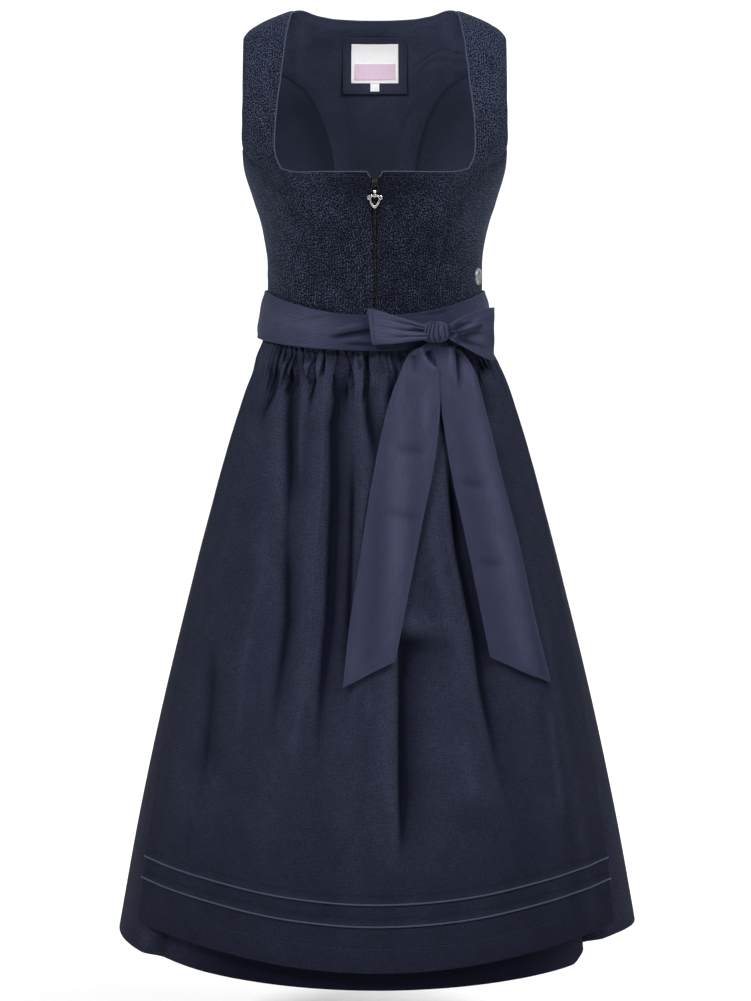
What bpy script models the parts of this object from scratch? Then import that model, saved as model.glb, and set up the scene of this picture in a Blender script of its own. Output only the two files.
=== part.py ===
"""Dirndl: a bodice with a front zip, a gathered skirt, and a piped apron tied in a bow.

The dress is filled out as if worn, open at the neck, the armholes and the hem.
Metres, +Z up, front towards -Y, the wearer's left towards +X. The origin lies midway between the
tops of the two shoulders, where the wearer carries the dress.
Pieces are named from the wearer's side, so "left" is +X.
"""
import math

import bmesh
import bpy
import numpy as np
from mathutils import Matrix, Vector
from mathutils.bvhtree import BVHTree


def table(columns, rows):
    """One array for each named column of a table."""
    return dict(zip(columns.split(), np.array(rows, float).T))


# Cloth walls and the gaps between pieces
SEAM_GAP = 0.0003
SLANTED_SEAM_GAP = 0.0005
LINING_GAP = 0.0005
BODICE_WALL = 0.0016
LINING_WALL = 0.0010
SKIRT_WALL = 0.0014
APRON_WALL = 0.0012
RIBBON_WALL = 0.0014
LABEL_WALL = 0.0010

# The bust's fullness, put in by the curved front seams
CUP_RISE = 0.017
CUP_X, CUP_HALF_WIDTH = 0.077, 0.046
CUP_HEIGHT, CUP_HALF_HEIGHT = -0.224, 0.046

# Neck, shoulders and armholes
SHOULDER_NECK_X = 0.0985
ARMHOLE_X = 0.156
NAPE_HEIGHT, NAPE_RISE = -0.040, 0.037
SHOULDER_FADE = (-0.160, -0.050)
SHOULDER_ROUNDING = 0.16
NECK_BOTTOM, NECK_CORNER, NECK_CORNER_X = -0.1905, -0.1865, 0.094
NOTCH_PIPING_START = 0.16

# Waist and hems: heights at the sides, and how much lower they hang at the centre front
WAIST_SEAM, WAIST_SEAM_DIP = -0.345, 0.022
BAND_TOP, BAND_TOP_DIP = -0.327, 0.027
BAND_BOTTOM, BAND_BOTTOM_DIP = -0.3835, 0.011
SKIRT_HEM, SKIRT_HEM_DIP = -1.1010, 0.0105
APRON_HEM, APRON_HEM_DIP = -1.068, 0.0215

# The skirt's plan, an oval that grows from waist to hem
WAIST_HALF, WAIST_FRONT, WAIST_BACK = 0.1335, 0.1105, 0.0905
HEM_HALF, HEM_FRONT, HEM_BACK = 0.3175, 0.2510, 0.2350
WAIST_SQUARE = 0.08
SKIRT_SWING, SWING_BETWEEN = 0.0035, (-0.430, -0.390)

# Gathers all round the skirt, and across the apron
SKIRT_GATHERS, SKIRT_GATHER_DEPTH = 60, 0.0030
APRON_GATHERS, APRON_GATHER_DEPTH = 34, 0.0042

# The skirt's hem hitches up at the wearer's left, and folds in behind a crease there
HITCH_START, HITCH_FULL, HITCH_END = (math.radians(angle) for angle in (46, 54, 125))
CREASE_START, CREASE_FULL, CREASE_END = (math.radians(angle) for angle in (50, 54, 85))
HITCH_LIFT, CREASE_DEPTH, CREASE_TOP = 0.015, 0.012, -0.85

# Apron
APRON_RIGHT_WAIST, APRON_RIGHT_HEM = math.radians(-75), math.radians(-64)
APRON_LEFT_WAIST, APRON_LEFT_HEM = math.radians(76), math.radians(62)
APRON_OUT_WAIST, APRON_OUT_SKIRT, APRON_UNDER_BAND = 0.0021, 0.0060, 0.012
TUCKS_ABOVE_HEM = {"upper": 0.0770, "lower": 0.0525}
CORD_RADIUS = 0.0011

# Zip
ZIP_TOP = -0.1940
ZIP_TAPE_HALF, ZIP_CHAIN_HALF, ZIP_CHAIN_WALL, ZIP_CHAIN_GAP = 0.0130, 0.0024, 0.0014, 0.0005
SLIDER_Z, SLIDER_HALF_Z, SLIDER_HALF_X, SLIDER_THICK, SLIDER_PROUD = -0.2025, 0.0045, 0.0034, 0.0016, 0.0004
BRIDGE_TOP, BRIDGE_BOTTOM, BRIDGE_PROUD, BRIDGE_WIRE = -0.1988, -0.2030, 0.0040, 0.0005

# The pull hangs from its top bar, and the charm from the pull's bottom bar
PULL_Z, PULL_PROUD = -0.2007, 0.0024
PULL_WIRE, PULL_LENGTH, PULL_CORNER = 0.00075, 0.0115, 0.0012
PULL_TOP_HALF, PULL_BOTTOM_HALF = 0.0026, 0.0046
BAIL_INNER, BAIL_OUTER, BAIL_HALF = 0.00115, 0.0019, 0.0019
CHARM_THICK = 0.0018

# A round badge on the wearer's left
BADGE_HEIGHT, BADGE_ANGLE = -0.310, math.radians(69)

# Labels inside the nape: half width, top and bottom, as heights below a level shoulder
PATCH_HALF, PATCH_TOP, PATCH_BOTTOM = 0.0400, -0.0534, -0.1052
LABEL_HALF, LABEL_TOP, LABEL_BOTTOM = 0.0295, -0.0609, -0.0965
SIZE_TAB_HALF, SIZE_TAB_BOTTOM = 0.0055, -0.1038
LABEL_GAP = 0.0004

# Bow
KNOT_ANGLE, KNOT_Z = math.radians(27), -0.3728
KNOT_HALF = (0.0150, 0.0115, 0.0128)
KNOT_SQUARE = 0.75

# The bodice's sections, by height below a level shoulder
BODICE = table("height half_width front back square", (
    (-0.380, 0.1300, 0.1100, 0.0880, 0.08),
    (-0.340, 0.1285, 0.1085, 0.0860, 0.08),
    (-0.315, 0.1280, 0.1085, 0.0855, 0.09),
    (-0.290, 0.1284, 0.1095, 0.0870, 0.10),
    (-0.267, 0.1318, 0.1115, 0.0900, 0.10),
    (-0.243, 0.1370, 0.1135, 0.0945, 0.11),
    (-0.220, 0.1445, 0.1155, 0.0985, 0.12),
    (-0.200, 0.1510, 0.1155, 0.1020, 0.12),
    (-0.180, 0.1575, 0.1130, 0.1045, 0.12),
    (-0.150, 0.1660, 0.1030, 0.1060, 0.12),
    (-0.110, 0.1720, 0.0860, 0.1020, 0.12),
    (-0.070, 0.1720, 0.0655, 0.0860, 0.12),
    (-0.040, 0.1710, 0.0480, 0.0600, 0.12),
    (-0.015, 0.1690, 0.0290, 0.0350, 0.12),
    (-0.004, 0.1680, 0.0150, 0.0180, 0.12),
    (0.000, 0.1680, 0.0000, 0.0000, 0.12),
))

# The shoulder line: how far it lies below the origin, by distance from the middle
SHOULDER = table("x drop", (
    (0.0500, 0.0000),
    (0.0700, -0.0024),
    (0.0880, -0.0040),
    (0.0985, -0.0026),
    (0.1165, 0.0036),
    (0.1380, 0.0136),
    (0.1500, 0.0219),
    (0.1570, 0.0310),
    (0.1700, 0.0520),
))

# Half of the front from the waist up. Its inner guide becomes the neck's edge. Its outer edge is the
# curved seam as far up as the armhole.
FRONT = table("height guide_x outer_x", (
    (-0.345, 0.0580, 0.0830),
    (-0.325, 0.0560, 0.0775),
    (-0.300, 0.0570, 0.0748),
    (-0.275, 0.0610, 0.0785),
    (-0.250, 0.0690, 0.0865),
    (-0.226, 0.0810, 0.0985),
    (-0.2075, 0.0940, 0.1112),
    (-0.1985, 0.1010, 0.1195),
    (-0.190, 0.1085, 0.1280),
    (-0.174, 0.1150, 0.1450),
    (-0.164, 0.1168, 0.1530),
    (-0.157, 0.1172, 0.1560),
    (-0.126, 0.1163, 0.1560),
    (-0.092, 0.1127, 0.1560),
    (-0.060, 0.1090, 0.1560),
    (-0.034, 0.1058, 0.1560),
    (-0.014, 0.1022, 0.1560),
    (-0.003, 0.0995, 0.1560),
    (0.000, 0.0985, 0.1560),
))
NECK_ROW = 8
SIDE_FRONT_ROWS = 11

# Half of the zip's opening: the distance from the zip's middle to the front's edge
ZIP_GAP = table("height gap", (
    (-0.380, 0.0014),
    (-0.300, 0.0022),
    (-0.250, 0.0030),
    (-0.212, 0.0042),
    (-0.1985, 0.0050),
    (-0.190, 0.0090),
))

# The outer edge of the side front, row by row beside the curved seam: the side seam, which is past
# every x, and then the armhole
SIDE = 1.0
SIDE_FRONT = table("x height", (
    (SIDE, -0.345),
    (SIDE, -0.322),
    (SIDE, -0.296),
    (SIDE, -0.270),
    (SIDE, -0.245),
    (SIDE, -0.220),
    (SIDE, -0.206),
    (SIDE, -0.198),
    (0.1535, -0.1915),
    (0.1558, -0.1745),
    (0.1560, -0.1610),
))

# Half of the back panel's edge: the curved seam and then the armhole
BACK = table("height edge_x", (
    (-0.345, 0.0450),
    (-0.310, 0.0440),
    (-0.265, 0.0455),
    (-0.220, 0.0480),
    (-0.180, 0.0510),
    (-0.148, 0.0570),
    (-0.118, 0.0700),
    (-0.090, 0.0890),
    (-0.066, 0.1130),
    (-0.046, 0.1420),
    (-0.039, 0.1560),
    (-0.018, 0.1560),
    (-0.004, 0.1560),
    (0.000, 0.1560),
))
BACK_COLUMNS = (-1, -0.82, -0.627, -0.42, -0.20, 0, 0.20, 0.42, 0.627, 0.82, 1)

# The outer edge of the side back, row by row beside the curved seam
SIDE_BACK = table("x height", (
    (SIDE, -0.345),
    (SIDE, -0.306),
    (SIDE, -0.262),
    (SIDE, -0.224),
    (SIDE, -0.198),
    (0.1545, -0.176),
    (0.1560, -0.140),
    (0.1560, -0.104),
    (0.1560, -0.070),
    (0.1560, -0.0402),
))

# The skirt's outline from the front
SKIRT = table("height half_width", (
    (-1.112, 0.3180),
    (-0.972, 0.2920),
    (-0.823, 0.2596),
    (-0.700, 0.2295),
    (-0.603, 0.2046),
    (-0.506, 0.1772),
    (-0.458, 0.1600),
    (-0.434, 0.1509),
    (-0.410, 0.1415),
    (-0.395, 0.1362),
    (-0.386, 0.1335),
    (-0.372, 0.1312),
    (-0.350, 0.1297),
    (-0.325, 0.1290),
))
SKIRT_ROWS = (-0.920, -0.760, -0.610, -0.500, -0.435, -0.402, -0.387, -0.374)
APRON_ROWS = (-0.930, -0.820, -0.690, -0.570, -0.485, -0.430, -0.403, -0.3905)

# How deep the gathers are at a height at the sides, as a share of their full depth
GATHERING = table("height share", (
    (-0.640, 0.00),
    (-0.540, 0.14),
    (-0.470, 0.40),
    (-0.430, 0.75),
    (-0.402, 1.00),
    (-0.391, 0.60),
    (-0.383, 0.35),
    (-0.340, 0.25),
))

# Large folds: where each ridge lies (degrees), its half width, where it starts and dies, and its rise
APRON_FOLDS = table("waist_angle hem_angle half_width top bottom rise", (
    (-60, -49, 10.0, -0.42, -1.16, 0.0050),
    (-31, -20, 6.0, -0.39, -1.12, 0.0090),
    (-9, -6, 5.0, -0.39, -1.12, 0.0070),
    (9, -1, 4.5, -0.39, -1.10, 0.0065),
    (20, 21, 8.0, -0.41, -1.14, 0.0085),
    (37, 44, 6.0, -0.41, -1.14, 0.0065),
    (50, 53, 3.0, -0.60, -1.14, 0.0055),
))
SKIRT_FOLDS = table("waist_angle hem_angle half_width top bottom rise", (
    (100, 98, 7.0, -0.42, -1.40, 0.003),
    (118, 117, 8.0, -0.40, -1.40, 0.016),
    (140, 139, 7.0, -0.40, -1.40, 0.018),
    (160, 162, 7.5, -0.40, -1.40, 0.015),
    (181, 184, 7.0, -0.40, -1.40, 0.018),
    (203, 206, 8.0, -0.40, -1.40, 0.014),
    (223, 225, 7.0, -0.40, -1.40, 0.018),
    (244, 246, 7.5, -0.40, -1.40, 0.014),
    (261, 263, 6.0, -0.42, -1.40, 0.003),
))

# The waistband's sections, by share of its height from the lower edge
BAND = table("share half_width front back", (
    (0.00, 0.1404, 0.1215, 0.0985),
    (0.30, 0.1399, 0.1205, 0.0975),
    (0.60, 0.1374, 0.1185, 0.0960),
    (0.85, 0.1338, 0.1160, 0.0935),
    (1.00, 0.1310, 0.1140, 0.0915),
))

# Each ribbon end's two edges as seen from the front, from its slanted cut up to the knot
TAIL_RIGHT = table("right_x right_z left_x left_z", (
    (-0.0365, -0.7720, 0.0235, -0.7420),
    (-0.0285, -0.7000, 0.0400, -0.6600),
    (-0.0160, -0.6200, 0.0550, -0.5850),
    (-0.0040, -0.5450, 0.0690, -0.5180),
    (0.0110, -0.4730, 0.0740, -0.4650),
    (0.0260, -0.4260, 0.0730, -0.4300),
    (0.0400, -0.3970, 0.0705, -0.4020),
    (0.0590, -0.3860, 0.0698, -0.3860),
))
TAIL_LEFT = table("right_x right_z left_x left_z", (
    (0.1315, -0.7420, 0.2040, -0.7780),
    (0.1190, -0.6820, 0.1850, -0.6980),
    (0.1050, -0.6130, 0.1660, -0.6120),
    (0.0890, -0.5400, 0.1470, -0.5400),
    (0.0800, -0.4760, 0.1310, -0.4750),
    (0.0765, -0.4350, 0.1180, -0.4280),
    (0.0735, -0.4020, 0.1030, -0.3970),
    (0.0715, -0.3860, 0.0830, -0.3860),
))
# How far a ribbon end stands off the apron
TAIL_OUT = table("height out", (
    (-0.800, 0.0024),
    (-0.600, 0.0026),
    (-0.500, 0.0036),
    (-0.430, 0.0070),
    (-0.400, 0.0100),
    (-0.386, 0.0145),
    (-0.370, 0.0145),
))

# Each bow loop's ribbon, from the knot along the back, round its end and along the front
LOOP_RIGHT = table("x y low high", (
    (0.0560, -0.1231, -0.3800, -0.3650),
    (0.0400, -0.1205, -0.3840, -0.3590),
    (0.0200, -0.1235, -0.3885, -0.3530),
    (0.0040, -0.1245, -0.3905, -0.3475),
    (-0.0055, -0.1262, -0.3910, -0.3450),
    (-0.0070, -0.1308, -0.3915, -0.3460),
    (0.0020, -0.1358, -0.3910, -0.3475),
    (0.0180, -0.1388, -0.3900, -0.3520),
    (0.0360, -0.1370, -0.3860, -0.3575),
    (0.0593, -0.1303, -0.3812, -0.3640),
))
LOOP_LEFT = table("x y low high", (
    (0.0834, -0.1096, -0.3800, -0.3650),
    (0.1000, -0.1020, -0.3875, -0.3560),
    (0.1160, -0.0925, -0.3960, -0.3500),
    (0.1300, -0.0825, -0.4030, -0.3465),
    (0.1378, -0.0765, -0.4060, -0.3455),
    (0.1392, -0.0815, -0.4070, -0.3460),
    (0.1335, -0.0900, -0.4060, -0.3470),
    (0.1200, -0.1035, -0.4000, -0.3490),
    (0.1040, -0.1165, -0.3910, -0.3545),
    (0.0868, -0.1167, -0.3812, -0.3640),
))

# The badge's turned profile, from the middle of its face over the rim to its back
BADGE_PROFILE = table("radius out", (
    (0.0000, 0.0026),
    (0.0040, 0.0024),
    (0.0072, 0.0017),
    (0.0080, 0.0023),
    (0.0092, 0.0024),
    (0.0100, 0.0015),
    (0.0096, 0.0000),
    (0.0000, 0.0000),
))

# Half of the charm, a heart with two tines, clockwise from the bail, in millimetres
CHARM_EDGE = ((0.9, -1.5), (1.3, -3.4), (3.2, -3.7), (4.8, -4.8), (6.2, -4.4), (8.0, -5.2), (9.2, -6.0),
              (8.2, -7.0), (8.8, -8.6), (7.4, -9.2), (6.3, -9.8), (5.7, -12.2), (3.6, -16.2), (0.0, -19.4))
CHARM_HOLE = ((0.0, -6.8), (1.6, -5.9), (3.3, -6.5), (4.2, -8.6), (3.6, -11.4), (1.9, -14.4), (0.0, -16.6))


def smooth(at, known, values):
    """Read a smooth curve through known values, which run in rising order. Its ends hold beyond them."""
    at = np.clip(at, known[0], known[-1])
    slope = np.gradient(values, known)
    i = np.clip(np.searchsorted(known, at, side="right") - 1, 0, len(known) - 2)
    step = known[i + 1] - known[i]
    t = (at - known[i]) / step
    return (values[i] * (1 + 2 * t) * (1 - t) ** 2 + slope[i] * step * t * (1 - t) ** 2
            + values[i + 1] * t * t * (3 - 2 * t) + slope[i + 1] * step * t * t * (t - 1))


def ease(value, low, high):
    """0 below `low`, 1 above `high`, and a smooth rise between them."""
    t = np.clip((value - low) / (high - low), 0, 1)
    return t * t * (3 - 2 * t)


def between(a, b, share):
    return a + (b - a) * share


def front_dip(angle):
    """1 at the centre front, falling to 0 at the side seams and all round the back."""
    return np.clip(np.cos(angle), 0, None) ** 2


def oval(angle, half_width, front, back, square):
    """A plan outline. The angle is 0 at the front and a quarter turn at the wearer's left side."""
    s, c = np.sin(angle), np.cos(angle)
    return half_width * s * (1 + square * c * c), -np.where(c > 0, front, back) * c * (1 + square * s * s)


def bodice_size(name, height):
    """A column of the bodice's table, read against the root of the height, because a shoulder is round."""
    return smooth(-np.sqrt(np.clip(-height, 0, None)), -np.sqrt(-BODICE["height"]), BODICE[name])


def bodice(angle, height):
    """The bodice's outer face. The height is as if the shoulders were level, and they are lowered here."""
    x, y = oval(angle, *(bodice_size(name, height) for name in ("half_width", "front", "back", "square")))
    across, near_shoulder = np.abs(x), ease(height, *SHOULDER_FADE)
    nape = np.clip(1 - (across / SHOULDER_NECK_X) ** 2, 0, None) * (np.cos(angle) < 0)
    z = height + (NAPE_RISE * nape - smooth(across, SHOULDER["x"], SHOULDER["drop"])) * near_shoulder
    cup = np.exp(-((across - CUP_X) / CUP_HALF_WIDTH) ** 2 - ((height - CUP_HEIGHT) / CUP_HALF_HEIGHT) ** 2)
    return np.stack([x, y - CUP_RISE * cup * ease(np.cos(angle), 0, 0.4), z], -1)


def turn_for(share, square):
    """How far round from the middle, up to a quarter turn, an oval reaches this share of its half width."""
    share = np.clip(share, 0, 1)
    turn = np.arcsin(share)
    for _ in range(20):
        turn = np.arcsin(np.clip(share / (1 + square * np.cos(turn) ** 2), 0, 1))
    return turn


def turn_at(x, height):
    """How far round the bodice reaches this x at this height."""
    return turn_for(np.abs(x) / bodice_size("half_width", height), bodice_size("square", height))


def front_angle(x, height):
    return np.sign(x) * turn_at(x, height)


def back_angle(x, height):
    return math.pi - np.sign(x) * turn_at(x, height)


def waist_seam(angle):
    return WAIST_SEAM - WAIST_SEAM_DIP * front_dip(angle)


def bump(turn, start, full, end):
    return ease(turn, start, full) * (1 - ease(turn, full, end))


def skirt_hem(angle):
    lift = HITCH_LIFT * bump(np.mod(angle, 2 * math.pi), HITCH_START, HITCH_FULL, HITCH_END)
    return SKIRT_HEM - SKIRT_HEM_DIP * front_dip(angle) + lift


def apron_hem(angle):
    """The apron hangs lowest at the centre and rises to its side edges."""
    across = np.clip(np.abs(angle) / APRON_LEFT_HEM, 0, 1)
    return APRON_HEM - APRON_HEM_DIP * np.cos(across * math.pi / 2) ** 2


def folds(ridges, angle, height):
    """How far the ridges of a table stand out at this angle and height."""
    rise = 0.0
    down = np.clip((WAIST_SEAM - height) / (WAIST_SEAM - SKIRT_HEM), 0, 1)
    for waist_angle, hem_angle, half_width, top, bottom, peak in zip(*ridges.values()):
        off = (np.degrees(angle) - between(waist_angle, hem_angle, down)) / half_width
        run = np.clip((top - height) / (top - bottom), 0, 1)
        rise = rise + peak * np.exp(-off ** 2) * np.sin(math.pi * run ** 0.8)
    return rise


def gathering(angle, height):
    return smooth(height + BAND_BOTTOM_DIP * front_dip(angle), GATHERING["height"], GATHERING["share"])


def skirt_plan(height):
    """The skirt's half width, front, back and squareness at a height."""
    half = smooth(height, SKIRT["height"], SKIRT["half_width"])
    share = (half - WAIST_HALF) / (HEM_HALF - WAIST_HALF)
    front, back = between(WAIST_FRONT, HEM_FRONT, share), between(WAIST_BACK, HEM_BACK, share)
    return half, front, back, WAIST_SQUARE * np.clip(1 - share, 0, 1)


def swing(height):
    """How far the skirt hangs towards the wearer's left, below the waistband."""
    return SKIRT_SWING * (1 - ease(height, *SWING_BETWEEN))


def skirt_base(angle, height, out=0.0):
    """The skirt's plan oval at a height, with no gathers or folds, grown by `out`."""
    half, front, back, square = skirt_plan(height)
    x, y = oval(angle, half + out, front + out, back + out, square)
    return np.stack([x + swing(height), y, height + 0 * x], -1)


def skirt(angle, height):
    """The skirt's outer face: gathers at the waist, ridges round the back, and the crease at the left."""
    turn = np.mod(angle, 2 * math.pi)
    wave = SKIRT_GATHER_DEPTH * gathering(angle, height) * (0.5 + 0.5 * np.cos(SKIRT_GATHERS * angle))
    crease = bump(turn, CREASE_START, CREASE_FULL, CREASE_END) * (1 - ease(height, SKIRT_HEM, CREASE_TOP))
    return skirt_base(angle, height, wave + folds(SKIRT_FOLDS, turn, height) - CREASE_DEPTH * crease)


def apron_out(angle, height):
    """How far the apron's outer face stands off the skirt's plain oval, without its gathers."""
    clear = between(APRON_OUT_SKIRT, APRON_OUT_WAIST, ease(height, -0.450, -0.390))
    return clear + SKIRT_GATHER_DEPTH * gathering(angle, height) + folds(APRON_FOLDS, angle, height)


def apron_angle(share, height):
    """The angle at a share of the apron's width, from its right edge to its left edge."""
    down = np.clip((WAIST_SEAM - height) / (WAIST_SEAM - APRON_HEM), 0, 1)
    right = between(APRON_RIGHT_WAIST, APRON_RIGHT_HEM, down)
    return between(right, between(APRON_LEFT_WAIST, APRON_LEFT_HEM, down), share)


def apron(share, height):
    """The apron's outer face, which lies on the skirt's, with its gathers."""
    angle = apron_angle(share, height)
    wave = APRON_GATHER_DEPTH * (0.5 + 0.5 * np.cos(2 * math.pi * APRON_GATHERS * share))
    return skirt_base(angle, height, apron_out(angle, height) + wave * gathering(angle, height))


def band(angle, share):
    """The waistband's outer face. The share runs from its lower edge to its upper edge."""
    sizes = (smooth(share, BAND["share"], BAND[name]) for name in ("half_width", "front", "back"))
    x, y = oval(angle, *sizes, WAIST_SQUARE)
    low = BAND_BOTTOM - BAND_BOTTOM_DIP * front_dip(angle)
    high = BAND_TOP - BAND_TOP_DIP * front_dip(angle)
    return np.stack([x, y, between(low, high, share)], -1)


def tail(edges):
    """A ribbon end's surface over its width (0 to 1) and its table's rows. It lies on the apron."""
    rows = np.arange(len(edges["right_x"]), dtype=float)

    def surface(across, row):
        right_x, right_z, left_x, left_z = (smooth(row, rows, edges[name]) for name in edges)
        x, z = between(right_x, left_x, across), between(right_z, left_z, across)
        half, _, _, square = skirt_plan(z)
        out = APRON_OUT_SKIRT
        for _ in range(3):
            across_skirt = x - swing(z)
            angle = np.sign(across_skirt) * turn_for(np.abs(across_skirt) / (half + out), square)
            out = apron_out(angle, z) + smooth(z, TAIL_OUT["height"], TAIL_OUT["out"])
        return skirt_base(angle, z, out)
    return surface


def loop(path):
    """A bow loop's surface over the rows of its table and its width (0 low, 1 high)."""
    rows = np.arange(len(path["x"]), dtype=float)

    def surface(row, across):
        x, y, low, high = (smooth(row, rows, path[name]) for name in path)
        return np.stack([x + 0 * across, y + 0 * across, between(low, high, across)], -1)
    return surface


def facing(surface, a, b, step=2e-5):
    """The unit normals of a surface of two parameters, from its slopes."""
    along = surface(a + step, b) - surface(a - step, b)
    up = surface(a, b + step) - surface(a, b - step)
    normal = np.cross(along, up)
    return normal / np.linalg.norm(normal, axis=-1, keepdims=True)


def finish(name, colour, roughness, metallic=0.0):
    material = bpy.data.materials.new(name)
    material.use_nodes = True
    shader = material.node_tree.nodes["Principled BSDF"]
    shader.inputs["Base Color"].default_value = (*colour, 1)
    shader.inputs["Roughness"].default_value = roughness
    shader.inputs["Metallic"].default_value = metallic
    return material


def collection(name):
    group = bpy.data.collections.new(name)
    bpy.context.scene.collection.children.link(group)
    return group


def add(name, data, material, group, location=(0, 0, 0), rotation=(0, 0, 0)):
    """A new object from mesh or curve data."""
    piece = bpy.data.objects.new(name, data)
    data.materials.clear()
    data.materials.append(material)
    piece.location, piece.rotation_euler = location, rotation
    group.objects.link(piece)
    return piece


def walled_mesh(name, outer, inner, present):
    """Two skins of the same rows and columns, joined along every open edge.

    Columns run to the right and rows run up, seen from outside. `present` says which cells are there.
    Each cell is split along the diagonal that lies further out, so that two layers split alike.
    """
    columns = outer.shape[1]
    shape = bmesh.new()
    skins = [[shape.verts.new(point) for point in skin.reshape(-1, 3)] for skin in (outer, inner)]
    edges = set()
    for r, c in np.argwhere(present):
        a, b, d, e = r * columns + c, r * columns + c + 1, (r + 1) * columns + c + 1, (r + 1) * columns + c
        at = outer.reshape(-1, 3)[[a, b, d, e]]
        rising = np.dot(at[0] + at[2] - at[1] - at[3], np.cross(at[2] - at[0], at[3] - at[1])) > 0
        for corners in ((a, b, d), (a, d, e)) if rising else ((a, b, e), (b, d, e)):
            shape.faces.new([skins[0][i] for i in corners])
            shape.faces.new([skins[1][i] for i in reversed(corners)])
        edges.update(((a, b), (b, d), (d, e), (e, a)))
    for i, j in sorted(edges):
        if (j, i) not in edges:
            shape.faces.new((skins[0][j], skins[0][i], skins[1][i], skins[1][j]))
    for loose in [vert for vert in shape.verts if not vert.link_faces]:
        shape.verts.remove(loose)
    mesh = bpy.data.meshes.new(name)
    shape.to_mesh(mesh)
    shape.free()
    return mesh


def seat(points, under, out):
    """Lay points `out` off the nearest face of the object under them. Also give the faces' normals."""
    shape = bmesh.new()
    shape.from_mesh(under.data)
    tree = BVHTree.FromBMesh(shape)
    shape.free()
    hits = [tree.find_nearest(point) for point in points.reshape(-1, 3)]
    place, normals = (np.array([hit[k] for hit in hits]).reshape(points.shape) for k in (0, 1))
    return place + normals * out, normals


def cloth(name, surface, a, b, wall, material, group, out=0.0, present=None):
    """A piece of cloth, whose outer skin lies `out` from the surface and whose inner skin a wall below that.

    Both skins follow the surface's own normals, so that neighbours' walls stay parallel at a seam.
    """
    if present is None:
        present = np.ones((a.shape[0] - 1, a.shape[1] - 1), bool)
    points, normals = surface(a, b), facing(surface, a, b)
    mesh = walled_mesh(name, points + normals * out, points + normals * (out - wall), present)
    return add(name, mesh, material, group)


def either_side(side, a, b, present=None):
    """A panel's angles, heights and kept cells on the wearer's left (1), or mirrored to the right (-1)."""
    if side > 0:
        return a, b, present
    return -a[:, ::-1], b[:, ::-1], None if present is None else present[:, ::-1]


def pulled_in(surface, a, b, gap):
    """Move the first and last columns in by half a seam's gap, measured on the surface."""
    a, step = a.copy(), 1e-4
    for column, sign in ((0, 1), (-1, -1)):
        at, height = a[:, column], b[:, column]
        speed = np.linalg.norm(surface(at + step, height) - surface(at - step, height), axis=-1) / (2 * step)
        a[:, column] = at + sign * gap / 2 / speed
    return a


def spread(first, last, shares):
    """Rows of values between two columns of ends."""
    return first[:, None] + (last - first)[:, None] * np.asarray(shares)


def below_shoulder(angle, height):
    """Stop a panel half a seam's gap short of the shoulder line."""
    return np.minimum(height, -(SEAM_GAP / 2 / SHOULDER_ROUNDING / np.cos(angle)) ** 2)


def front_grid():
    """The left front, which is cut away at the neck above the neck row."""
    height, guide_x = FRONT["height"], FRONT["guide_x"]
    zip_x = smooth(height, ZIP_GAP["height"], ZIP_GAP["gap"])
    x = np.concatenate([spread(zip_x, guide_x, (0, 0.28, 0.56, 0.84)),
                        spread(guide_x, FRONT["outer_x"], (0, 1 / 3, 2 / 3, 1))], 1)
    heights = np.repeat(height[:, None], x.shape[1], 1)
    heights[NECK_ROW] = between(NECK_BOTTOM, NECK_CORNER, ease(x[NECK_ROW], NECK_CORNER_X, guide_x[NECK_ROW]))
    angle = pulled_in(bodice, front_angle(x, heights), heights, SLANTED_SEAM_GAP)
    angle[:, 0] = front_angle(x[:, 0], heights[:, 0])
    heights[0] = waist_seam(angle[0]) + SEAM_GAP
    present = np.ones((len(height) - 1, x.shape[1] - 1), bool)
    present[NECK_ROW:, :4] = False
    return angle, below_shoulder(angle, heights), present


def side_front_grid():
    """The left side front, between the front's curved seam and the side seam and armhole."""
    inner_h, inner_x = FRONT["height"][:SIDE_FRONT_ROWS], FRONT["outer_x"][:SIDE_FRONT_ROWS]
    shares = np.linspace(0, 1, 5)
    angle = spread(front_angle(inner_x, inner_h), front_angle(SIDE_FRONT["x"], SIDE_FRONT["height"]), shares)
    height = spread(inner_h, SIDE_FRONT["height"], shares)
    height[NECK_ROW, 0] = NECK_CORNER
    height[0] = waist_seam(angle[0]) + SEAM_GAP
    height[-1] -= SLANTED_SEAM_GAP
    return pulled_in(bodice, angle, height, SLANTED_SEAM_GAP), height


def back_grid():
    """The whole back, whose top is the nape between the two shoulder seams."""
    shares = np.array(BACK_COLUMNS)
    x = BACK["edge_x"][:, None] * -shares
    top_x = np.abs(shares) * ARMHOLE_X
    top = np.where(top_x < SHOULDER_NECK_X, NAPE_HEIGHT * (1 - (top_x / SHOULDER_NECK_X) ** 2), 0.0)
    height = between(WAIST_SEAM, top, (BACK["height"][:, None] - WAIST_SEAM) / -WAIST_SEAM)
    height[0] += SEAM_GAP
    height = below_shoulder(back_angle(x, height - 1e-6), height)
    return pulled_in(bodice, back_angle(x, height), height, SLANTED_SEAM_GAP), height


def side_back_grid():
    """The left side back, between the side seam and armhole and the back's curved seam."""
    count = len(SIDE_BACK["x"])
    inner_h, inner_x = BACK["height"][:count], BACK["edge_x"][:count]
    shares = np.linspace(0, 1, 5)
    angle = spread(back_angle(SIDE_BACK["x"], SIDE_BACK["height"]), back_angle(inner_x, inner_h), shares)
    height = spread(SIDE_BACK["height"], inner_h, shares)
    height[0] += SEAM_GAP
    height[-1] -= 3 * SLANTED_SEAM_GAP
    return pulled_in(bodice, angle, height, SLANTED_SEAM_GAP), height


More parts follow.
